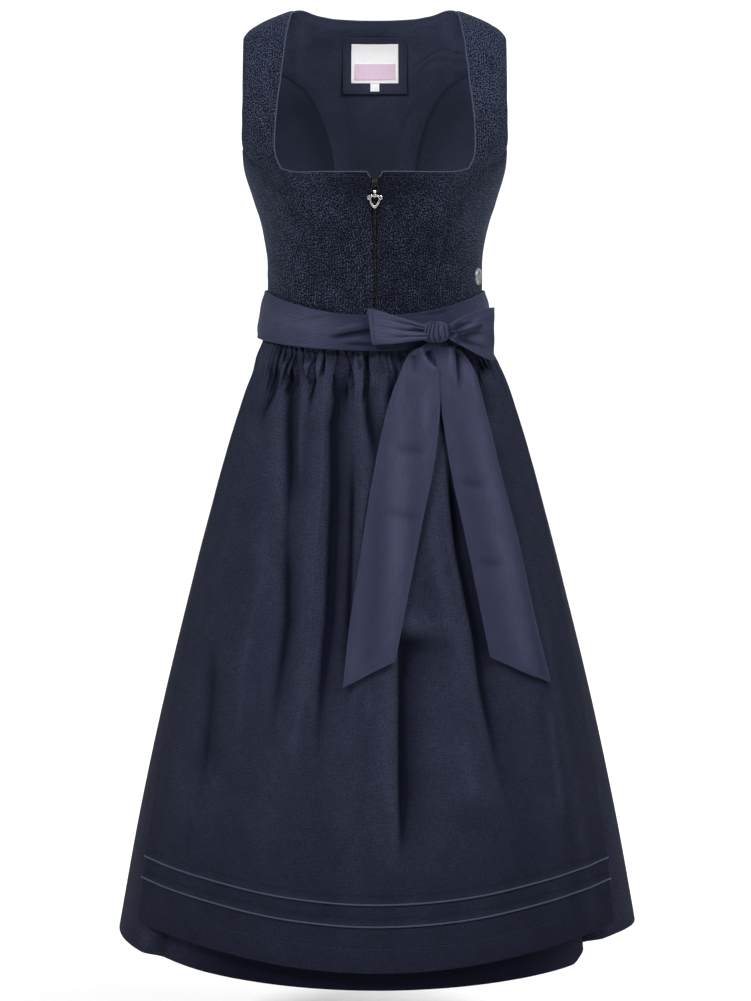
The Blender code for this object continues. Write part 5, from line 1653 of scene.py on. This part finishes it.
@dataclass
class Apron:
    """The gathered panel: stitched side hems, two piped tucks and a stitched hem."""

    shop: Workshop
    columns: int = 384
    tucks: Pair = (0.0525, 0.077)
    tuck_depth: float = 0.0085
    hem_line: float = 0.027
    hem_zone: float = 0.1
    side_hem: float = 0.0085
    under_band: float = 0.012

    def relief(self, cloth: Cloth) -> Array:
        """Each tuck lies down over the cloth below it; side hems and the hem are stitched flat.

        Args:
            cloth: The panel.

        Returns:
            The relief.
        """
        lift = cloth.b - SKIRT.apron_hem(SKIRT.apron_angle(cloth.a, APRON_HEM))
        lines = np.zeros(cloth.u.shape)
        for line in self.tucks:
            above = lift - line
            lines = lines + 0.0011 * ease(above, -0.0005, 0.0004) * (1 - ease(above, 0.0005, self.tuck_depth))
            sewn = 0.00035 * bell(above - self.tuck_depth, 0.0012)
            lines = lines - 0.0004 * bell(above + 0.0016, 0.0011) - sewn
        hem = -0.00035 * bell(lift - self.hem_line, 0.0011)
        sides = -0.00035 * bell(cloth.edge("lr") - self.side_hem, 0.001)
        soft = 0.0008 * rumple(cloth.u, cloth.v, (0.04, 0.2), 81)
        folds = creased(APRON_CREASES, cloth.points) + soft * ease(cloth.edge("lrbt"), 0, 0.05)
        deepest = -between(0.005, 0.014, ease(-cloth.b, 0.385, 0.41))
        folds = np.maximum(folds, deepest) * ease(lift, 0, 0.04)
        x, z = cloth.points[..., 0], cloth.points[..., 2]
        for edges in BOW_TAILS.values():
            first, last = (smooth(z, edges[f"{side}_z"], edges[f"{side}_x"]) for side in ("right", "left"))
            under = ease(x, first - 0.012, first) * (1 - ease(x, last, last + 0.012)) * ease(z, -0.8, -0.76)
            folds = np.where(folds > 0, folds * (1 - under), folds)
        return lines + hem + sides + folds

    def make(self) -> None:
        """Build the panel, its two cords and its stitches."""
        share = np.linspace(0, 1, self.columns + 1)
        share = np.unique(np.concatenate([share, [0.0004, 0.0009, 0.9991, 0.9996]]))[None]
        low = SKIRT.apron_hem(SKIRT.apron_angle(share, APRON_HEM))
        top = BAND_LOW - BAND_DIP * front_dip(SKIRT.apron_angle(share, BAND_LOW)) + self.under_band
        lines = (*self.tucks, self.hem_line, *(tuck + self.tuck_depth for tuck in self.tucks))
        lift = even(0, self.hem_zone, 0.0035, lines)
        rest = 1 - (1 - np.linspace(0, 1, 84)[1:]) ** 1.3
        height = stacked(low, lift, self.hem_zone, top, rest)
        # Painted light along the gathers at the top, painted shade lower down and near the hem, and more
        # towards the wearer's left edge
        shade = by_height(height, -1.05, 0.0, 0.402, 0.44) + by_height(height, 0.0, 0.1, 0.55, 0.75)
        shade = shade + by_height(height, 0.0, 0.4, 0.86, 1.05) + 0.14 * ease(share, 0.55, 0.8)
        cloth = Cloth("apron_panel", SKIRT.apron, np.repeat(share, len(height), 0), height, APRON_WALL,
                      relief=self.relief, turned="lrb", shade=shade)
        self.shop.sew(cloth, "aproning", "apron_cloth", "apron", (0.66, 0.735), "gathered")
        lift = np.array([0, 0.0003, 0.0007, *lift[1:]])
        for word, line in zip(("lower", "upper"), self.tucks):
            row = int(np.argmin(np.abs(lift - line)))
            path = cloth.outer[row] + cloth.normals[row] * 0.0004 - np.array([0, 0, 0.0006])
            self.shop.fit(tube(f"apron_cord_{word}", path, CORD_RADIUS, 10), "cord", "piping",
                          [f"apron_piping_{word}"])
        row = int(np.argmin(np.abs(lift - self.hem_line)))
        self.shop.stitch("apron_hem_stitches", (cloth.outer[row], cloth.normals[row]))
        for word, edge in (("right", "l"), ("left", "r")):
            self.shop.stitch(f"apron_side_stitches_{word}", cloth.beside(edge, self.side_hem))


# Band and bow

BAND_CREASES = creases(
    ((6, -370, -8, -371, -24, -374, -40, -377, -60, -380), -4.8, (1.8, 3.2), (0.0, 0.4)),
    ((6, -363, -10, -364, -30, -368, -52, -373), 2.8, (2.2, 2.2), (0.0, 0.4)),
    ((6, -357, -12, -355, -34, -355, -60, -360), -3.6, (3.2, 1.8), (0.0, 0.5)),
    ((4, -383, -20, -382, -48, -382), 2.4, (2.0, 2.0), (0.0, 0.4)),
    ((4, -387, -20, -387, -40, -387), -2.6, (1.6, 1.6), (0.0, 0.4)),
    ((-40, -352, -72, -357, -104, -362), -1.6, (2.4, 2.4), (0.3, 0.6)),
    ((52, -353, 70, -352, 88, -349), -2.6, (1.8, 1.8), (0.2, 0.3)),
)


@dataclass
class Waistband:
    """The apron's band round the front, and its ties round the back."""

    shop: Workshop
    sections: Table = tabled("share half_width front back", (
        (0, 140.4, 121.5, 98.5), (300, 139.9, 120.5, 97.5), (600, 137.4, 118.5, 96),
        (850, 133.8, 116, 93.5), (1000, 131, 114, 91.5)))

    def form(self, angle: Array, share: Array) -> Array:
        """The band's outer face, from its lower edge (share 0) to its upper edge (share 1)."""
        known, *sizes = self.sections.values()
        x, y = oval(angle, *(smooth(share, known, size) for size in sizes), 0.08)
        low, high = BAND_LOW - BAND_DIP * front_dip(angle), -0.327 - 0.027 * front_dip(angle)
        return np.stack([x, y, between(low, high, share)], -1)

    def relief(self, cloth: Cloth) -> Array:
        """Creases that run along the band and deepen towards the bow, and soft buckles elsewhere.

        Args:
            cloth: The band.

        Returns:
            The relief.
        """
        soft = 0.0007 * rumple(cloth.u + cloth.v, cloth.v, (0.06, 0.016), 92)
        middle = ease(cloth.edge("bt"), 0.001, 0.01)
        rolled = 0.0005 * bell(cloth.edge("bt") - 0.0014, 0.0012)
        front = creased(BAND_CREASES, cloth.points) * (np.cos(cloth.a) > 0)
        return (soft + front) * middle + rolled

    def make(self) -> None:
        """Build the front and the back."""
        for name, first, last in (("waistband_front", -95, 95), ("waistband_back", 95, 265)):
            columns = round((last - first) * 1.4)
            share = np.concatenate([[0, 0.004, 0.01], even(0.02, 0.98, 0.026), [0.99, 0.996, 1]])
            angle, share = np.meshgrid(np.radians(np.linspace(first, last, columns + 1)), share)
            cloth = Cloth(f"{name}_cloth", self.form, angle, share, RIBBON_WALL, relief=self.relief,
                          turned="bt")
            x = cloth.points[..., 0]
            # Painted shade on the front band round the bow, under its loop and knot
            cloth.shade = 0.64 * ease(x, -0.075, -0.028) * (1 - ease(x, 0.08, 0.12)) * (first < 0)
            width = 0.405 if first < 0 else 0.38
            self.shop.sew(cloth, "band_ribbon", "ribbon_cloth", name, (width, 0.056), "laid")


TAIL_CREASES = {
    "right": creases(
        ((60, -394, 64, -402, 70, -410, 73, -416), -4.5, (4, 4), (0.1, 0.3)),
        ((52, -388, 55, -400, 61, -410, 70, -418, 76, -424), 3.4, (6, 2.5), (0.1, 0.3)),
        ((44, -398, 46, -412, 47, -425), -2.4, (6, 5), (0.2, 0.6)),
        ((36, -410, 30, -430, 24, -460), 1.6, (6, 6), (0.3, 0.6)),
        ((60, -440, 58, -470, 55, -500), 1.2, (6, 5), (0.4, 0.6)),
        ((18, -503, 40, -506, 62, -509), -1.1, (6, 9), (0.4, 0.4)),
        ((8, -574, 34, -580, 58, -584), -1.1, (6, 9), (0.4, 0.4)),
    ),
    "left": creases(
        ((95, -388, 97, -402, 98, -424, 98, -446), -4.2, (3, 5), (0.0, 0.6)),
        ((86, -388, 87, -402, 88, -430), 2.2, (6, 5), (0.0, 0.6)),
        ((74, -389, 82, -388, 92, -387), -3.0, (2, 2), (0.2, 0.2)),
        ((108, -404, 116, -440, 122, -470), 1.4, (7, 5), (0.3, 0.6)),
        ((90, -540, 112, -546, 138, -552), -1.1, (6, 9), (0.4, 0.4)),
        ((112, -630, 132, -636, 156, -640), -0.9, (6, 9), (0.4, 0.4)),
    ),
}
LOOP_CREASES = {
    "right": creases(
        ((58, -364, 50, -360, 42, -357), -3.8, (2.5, 3.0), (0.0, 0.6)),
        ((58, -371, 48, -369, 36, -368), -2.4, (2.4, 2.4), (0.0, 0.6)),
        ((58, -367, 50, -365, 42, -364), 1.8, (1.8, 1.8), (0.0, 0.6)),
        ((58, -378, 44, -378, 28, -379), 1.6, (3.0, 3.0), (0.0, 0.6)),
        ((-3, -348, -2, -366, 1, -389), -0.7, (0.8, 0.8), (0.05, 0.05)),
    ),
    "left": creases(
        ((84, -368, 92, -363, 103, -355), -5.5, (3.5, 3.5), (0.0, 0.5)),
        ((92, -379, 108, -372, 128, -362), -4.2, (5.0, 2.4), (0.2, 0.4)),
        ((90, -371, 106, -364, 124, -356), 2.6, (3.5, 3.5), (0.1, 0.5)),
        ((84, -373, 94, -381, 102, -388), 2.6, (2.6, 2.6), (0.0, 0.3)),
        ((84, -378, 92, -386, 98, -391), -3.0, (2.0, 2.0), (0.0, 0.3)),
    ),
}


@dataclass
class Bow:
    """The knot, two loops and two ribbon ends."""

    shop: Workshop
    knot_centre: Triple = (0.0697, -0.119774, -0.3728)
    knot_half: Triple = (0.0164, 0.0115, 0.0128)
    knot_turn: float = math.radians(31)
    # Each side: its name, the painted light on its loop (lighter below 0), and its loop's and end's flat
    # sizes
    sides: tuple[tuple[str, float, Pair, Pair], ...] = (
        ("right", -0.25, (0.142, 0.04), (0.068, 0.37)), ("left", -0.08, (0.15, 0.05), (0.074, 0.39)))
    tail_out: Table = tabled("height out", (
        (-800, 2.4), (-600, 2.6), (-500, 3.6), (-430, 7), (-400, 10), (-386, 14.5), (-370, 14.5)))
    loops: dict[str, Table] = field(default_factory=lambda: {
        "right": table("x y low high", (
            (56, -123.1, -380, -365), (40, -120.5, -383, -359), (20, -123.5, -385.5, -353),
            (4, -124.5, -386.8, -347.5), (-5.5, -126.2, -387, -345), (-7, -130.8, -387.2, -346),
            (2, -135.8, -386.6, -347.5), (18, -138.8, -385.6, -352), (36, -137, -383.6, -357.5),
            (59.3, -130.3, -381.2, -364))),
        "left": table("x y low high", (
            (83.4, -109.6, -380, -365), (100, -102, -387.5, -356), (116, -92.5, -396, -350),
            (130, -82.5, -403, -346.5), (137.8, -76.5, -406, -345.5), (139.2, -81.5, -407, -346),
            (133.5, -90, -406, -347), (120, -103.5, -400, -349), (104, -116.5, -391, -354.5),
            (86.8, -116.7, -381.2, -364)))})

    def tail_form(self, edges: Table) -> Surface:
        """A ribbon end's surface over its width (0 to 1) and its table's rows. It lies on the apron.

        Args:
            edges: The end's two edges as seen from the front.

        Returns:
            The surface.
        """
        rows = np.arange(len(edges["right_x"]), dtype=float)

        def surface(across: Array, row: Array) -> Array:
            """Place points by finding the angle on the apron that has the wanted x."""
            right_x, right_z, left_x, left_z = (smooth(row, rows, edges[name]) for name in edges)
            x, z = between(right_x, left_x, across), between(right_z, left_z, across)
            half, _, _, square = SKIRT.plan(z)
            out = SKIRT.apron_out[0]
            for _ in range(3):
                beyond = x - SKIRT.swing(z)
                angle = np.sign(beyond) * turn_for(np.abs(beyond) / (half + out), square)
                out = SKIRT.apron_stand(angle, z) + smooth(z, self.tail_out["height"], self.tail_out["out"])
            return SKIRT.base(angle, z, out)
        return surface

    def loop_form(self, path: Table) -> Surface:
        """A loop's surface over the rows of its table and its width (0 low, 1 high)."""
        rows = np.arange(len(path["x"]), dtype=float)

        def surface(row: Array, across: Array) -> Array:
            """Place points between the loop's low and high edges."""
            x, y, low, high = (smooth(row, rows, path[name]) for name in path)
            lean = 0.006 * (x.min() < 0) * ease(row, 1.0, 3.5) * (1 - ease(row, 6.5, 9.0)) * (1 - across)
            return np.stack([x + lean, y + 0 * across, between(low, high, across)], -1)
        return surface

    def knot(self) -> Object:
        """The knot: a squarish ball whose girth is pinched, with curved wrinkles from top to bottom and shade
        painted into their grooves.

        Returns:
            The object.
        """
        around = np.linspace(0, 2 * math.pi, 224, endpoint=False)[None]
        down = np.linspace(0.02, math.pi - 0.02, 72)[:, None]
        shape = [np.sin(down) * np.cos(around), np.sin(down) * np.sin(around), np.cos(down) + 0 * around]
        x, y, z = (np.sign(s) * np.abs(s) ** 0.72 for s in shape)
        bend = around + 0.3 * np.sin(down) * np.sin(around) + 0.1 * np.cos(3.1 * down + 1.7 * around)
        groove = 1 - np.abs(np.sin(8.5 * bend)) ** 0.5 * (0.8 + 0.2 * np.abs(np.sin(5.0 * bend + 1.1)))
        swell = 1.03 - 0.24 * groove * np.sin(down) ** 0.6 - 0.06 * np.cos(down) ** 2
        x, y, z = (half * s * swell for half, s in zip(self.knot_half, (x, y, z)))
        c, s = math.cos(self.knot_turn), math.sin(self.knot_turn)
        points = np.stack([x * c - y * s, x * s + y * c, z], -1) + self.knot_centre
        uv = np.stack(np.broadcast_arrays(around * 0.012, down * 0.012), -1)
        made = loft("bow_knot_cloth", points, uv, 70)
        # Painted shade in the wrinkles' grooves
        shade = np.broadcast_to(np.clip(1.7 * groove - 0.4, -0.5, 0.95), points.shape[:2])
        shade = np.pad(shade.ravel(), (0, len(made.data.vertices) - shade.size), "edge")
        set_painted_shade(made.data, shade)
        return made

    def tail_relief(self, word: str, cloth: Cloth) -> Array:
        """Plies that open out below the knot, a narrow hem along both edges and soft waves.

        Args:
            word: The side's name.
            cloth: The ribbon end.

        Returns:
            The relief.
        """
        near = cloth.edge("lrb")
        hem = 0.0004 * bell(near - 0.001, 0.001) - 0.0003 * bell(near - 0.0048, 0.0009)
        soft = 0.0007 * rumple(cloth.u, cloth.v, (0.035, 0.09), len(word))
        folds = np.clip(1.5 * creased(TAIL_CREASES[word], cloth.points), -0.007, 0.005)
        over_other = 0.0022 * (word == "right") * ease(cloth.points[..., 2], -0.5, -0.44)
        return 0.0008 + over_other + hem + folds + soft * ease(cloth.edge("b"), 0, 0.02)

    def loop_relief(self, cloth: Cloth) -> Array:
        """Pleats that fan out from the knot at both ends of the loop's ribbon.

        Args:
            cloth: The loop.

        Returns:
            The relief.
        """
        last = cloth.a.max()
        near_knot = np.maximum(1 - ease(cloth.a, 0, 0.3 * last), ease(cloth.a, 0.62 * last, last))
        pleats = 0.0008 - 0.0046 * (1 - np.abs(np.sin(cloth.b * math.pi * 3.6 + 0.5)) ** 0.5) * near_knot
        soft = 0.0007 * rumple(cloth.u, cloth.v, (0.022, 0.014), 95)
        lines = LOOP_CREASES["right" if cloth.points[..., 0].min() < 0 else "left"]
        folds = np.clip(1.4 * creased(lines, cloth.points), -0.0068, 0.0042)
        folds = folds * ease(cloth.a, 0.5 * last, 0.58 * last)
        rolled = 0.0005 * bell(cloth.edge("bt") - 0.0014, 0.0012)
        return (pleats + soft) * ease(cloth.edge("bt"), 0, 0.004) + folds + rolled

    def make(self) -> None:
        """Build the knot, the loops and the ends."""
        self.shop.fit(self.knot(), "ribbon", "ribbon_cloth", ["bow_knot"])
        for word, shade, loop_flat, tail_flat in self.sides:
            path, edges = self.loops[word], BOW_TAILS[word]
            last = len(path["x"]) - 1
            share = np.concatenate([[0, 0.006, 0.014], even(0.03, 0.97, 0.028), [0.986, 0.994, 1]])
            row, share = np.meshgrid(np.linspace(0, last, 160), share)
            # Each loop gets painted light all over and strong painted shade in its hollows
            cloth = Cloth(f"bow_loop_{word}_cloth", self.loop_form(path), row, share, RIBBON_WALL,
                          RIBBON_WALL / 2, relief=self.loop_relief, turned="bt", shade=shade, cavity=1.7)
            self.shop.sew(cloth, "band_ribbon", "ribbon_cloth", f"bow_loop_{word}", loop_flat, "folded")
            last = len(edges["right_x"]) - 1
            across = np.concatenate([[0, 0.004, 0.01], even(0.02, 0.98, 0.018), [0.99, 0.996, 1]])
            row = np.concatenate([[0, 0.004, 0.01], np.linspace(0.03, last, 220)])
            across, row = np.meshgrid(across, row)
            # Painted shade that darkens each end towards its bottom
            deep = 0.3 * (1 - row / last) ** 1.5 if word == "left" else 0.16 * (1 - row / last)
            cloth = Cloth(f"bow_tail_{word}_cloth", self.tail_form(edges), across, row, RIBBON_WALL,
                          relief=partial(self.tail_relief, word), turned="lrb")
            # and painted shadow at the ends' tops, under the knot
            under = bell(cloth.points[..., 0] - 0.07, 0.022)
            cloth.shade = deep + 0.6 * under * ease(cloth.points[..., 2], -0.412, -0.392)
            self.shop.sew(cloth, "ribbon", "ribbon_cloth", f"bow_tail_{word}", tail_flat, "hung")


# Studio

@dataclass
class Studio:
    """The camera at the photograph's angle, soft lights, and one pale floor that sweeps up behind."""

    eye: Triple = (0.00084, -3.0, -0.279)
    tilt: float = math.radians(5.722)
    lens: float = 89.9
    floor: float = -1.3
    white: Triple = (0.93, 0.93, 0.93)

    def camera(self) -> None:
        """Set the camera."""
        data = bpy.data.cameras.new("camera")
        data.lens, data.sensor_width = self.lens, 36
        data.clip_start, data.clip_end = 0.05, 50
        made = put("camera", data)
        made.location, made.rotation_euler = self.eye, (math.pi / 2 - self.tilt, 0, 0)
        bpy.context.scene.camera = made

    def sweep(self) -> None:
        """The floor: flat round the dress, then a quarter round up to a wall far behind it."""
        turn = np.linspace(0, math.pi / 2, 24)
        y = np.concatenate([[-9.0, 5.5], 5.5 + 1.5 * np.sin(turn), [7.0]])
        z = np.concatenate([[0, 0], 1.5 * (1 - np.cos(turn)), [5.0]]) + self.floor
        x = np.linspace(-10, 10, 3)[:, None]
        points = np.stack([x + 0 * y, y + 0 * x, z + 0 * x], -1)
        n = len(y)
        r, k = np.meshgrid(np.arange(2), np.arange(n - 1), indexing="ij")
        quads = np.stack([r * n + k, (r + 1) * n + k, (r + 1) * n + k + 1, r * n + k + 1], -1).reshape(-1, 4)
        made = mesh_object("floor_sweep", points, quads, None, 60)
        paint = Painter("floor")
        where = paint.node("ShaderNodeTexCoord", {}, {}).outputs["Object"]
        cloudy = paint.number("ShaderNodeTexNoise", {}, {"Vector": where, "Scale": 3.0, "Detail": 2.0})
        paint.colour(cloudy, self.white, [c * 0.985 for c in self.white])
        paint.set("Roughness", 0.9)
        made.data.materials.append(paint.material)

    def light(self, name: str, place: Sequence[float], aim: Sequence[float], size: float,
              power: float) -> None:
        """A square soft light.

        Args:
            name: Its name.
            place: Where it is.
            aim: The point that it looks at.
            size: How wide it is.
            power: Its power in watts.
        """
        data = bpy.data.lights.new(name, "AREA")
        data.shape, data.size, data.energy = "SQUARE", size, power
        made = put(name, data)
        made.location = place
        made.rotation_euler = (Vector(aim) - Vector(place)).to_track_quat("-Z", "Y").to_euler()

    def make(self) -> None:
        """Set the camera, the floor, the lights and the pale world."""
        self.camera()
        self.sweep()
        middle = (0.0, 0.0, -0.5)
        self.light("key", (-2.4, -3.0, 2.3), middle, 1.1, 175)
        self.light("fill", (2.2, -3.3, 2.3), middle, 1.6, 95)
        self.light("top", (2.0, -1.8, 3.0), middle, 1.3, 120)
        self.light("backdrop", (0.0, 3.2, 2.6), (0.0, 4.6, -1.3), 4.0, 150)
        world = bpy.data.worlds.new("studio")
        world.use_nodes = True
        world.node_tree.nodes["Background"].inputs[0].default_value = (1, 1, 1, 1)
        world.node_tree.nodes["Background"].inputs[1].default_value = 0.3
        bpy.context.scene.world = world
        bpy.context.scene.view_settings.view_transform = "Standard"


def main() -> None:
    """Build the dress's classes in order, then the studio."""
    logging.basicConfig(level=logging.INFO, format="%(message)s")
    Studio().make()
    shop = Workshop(Finishes())
    for kind in (Bodice, Labels, Zip, Badge, Skirt, Apron, Waistband, Bow):
        log.info("Building %s", kind.__name__)
        kind(shop).make()


if __name__ == "__main__":
    main()
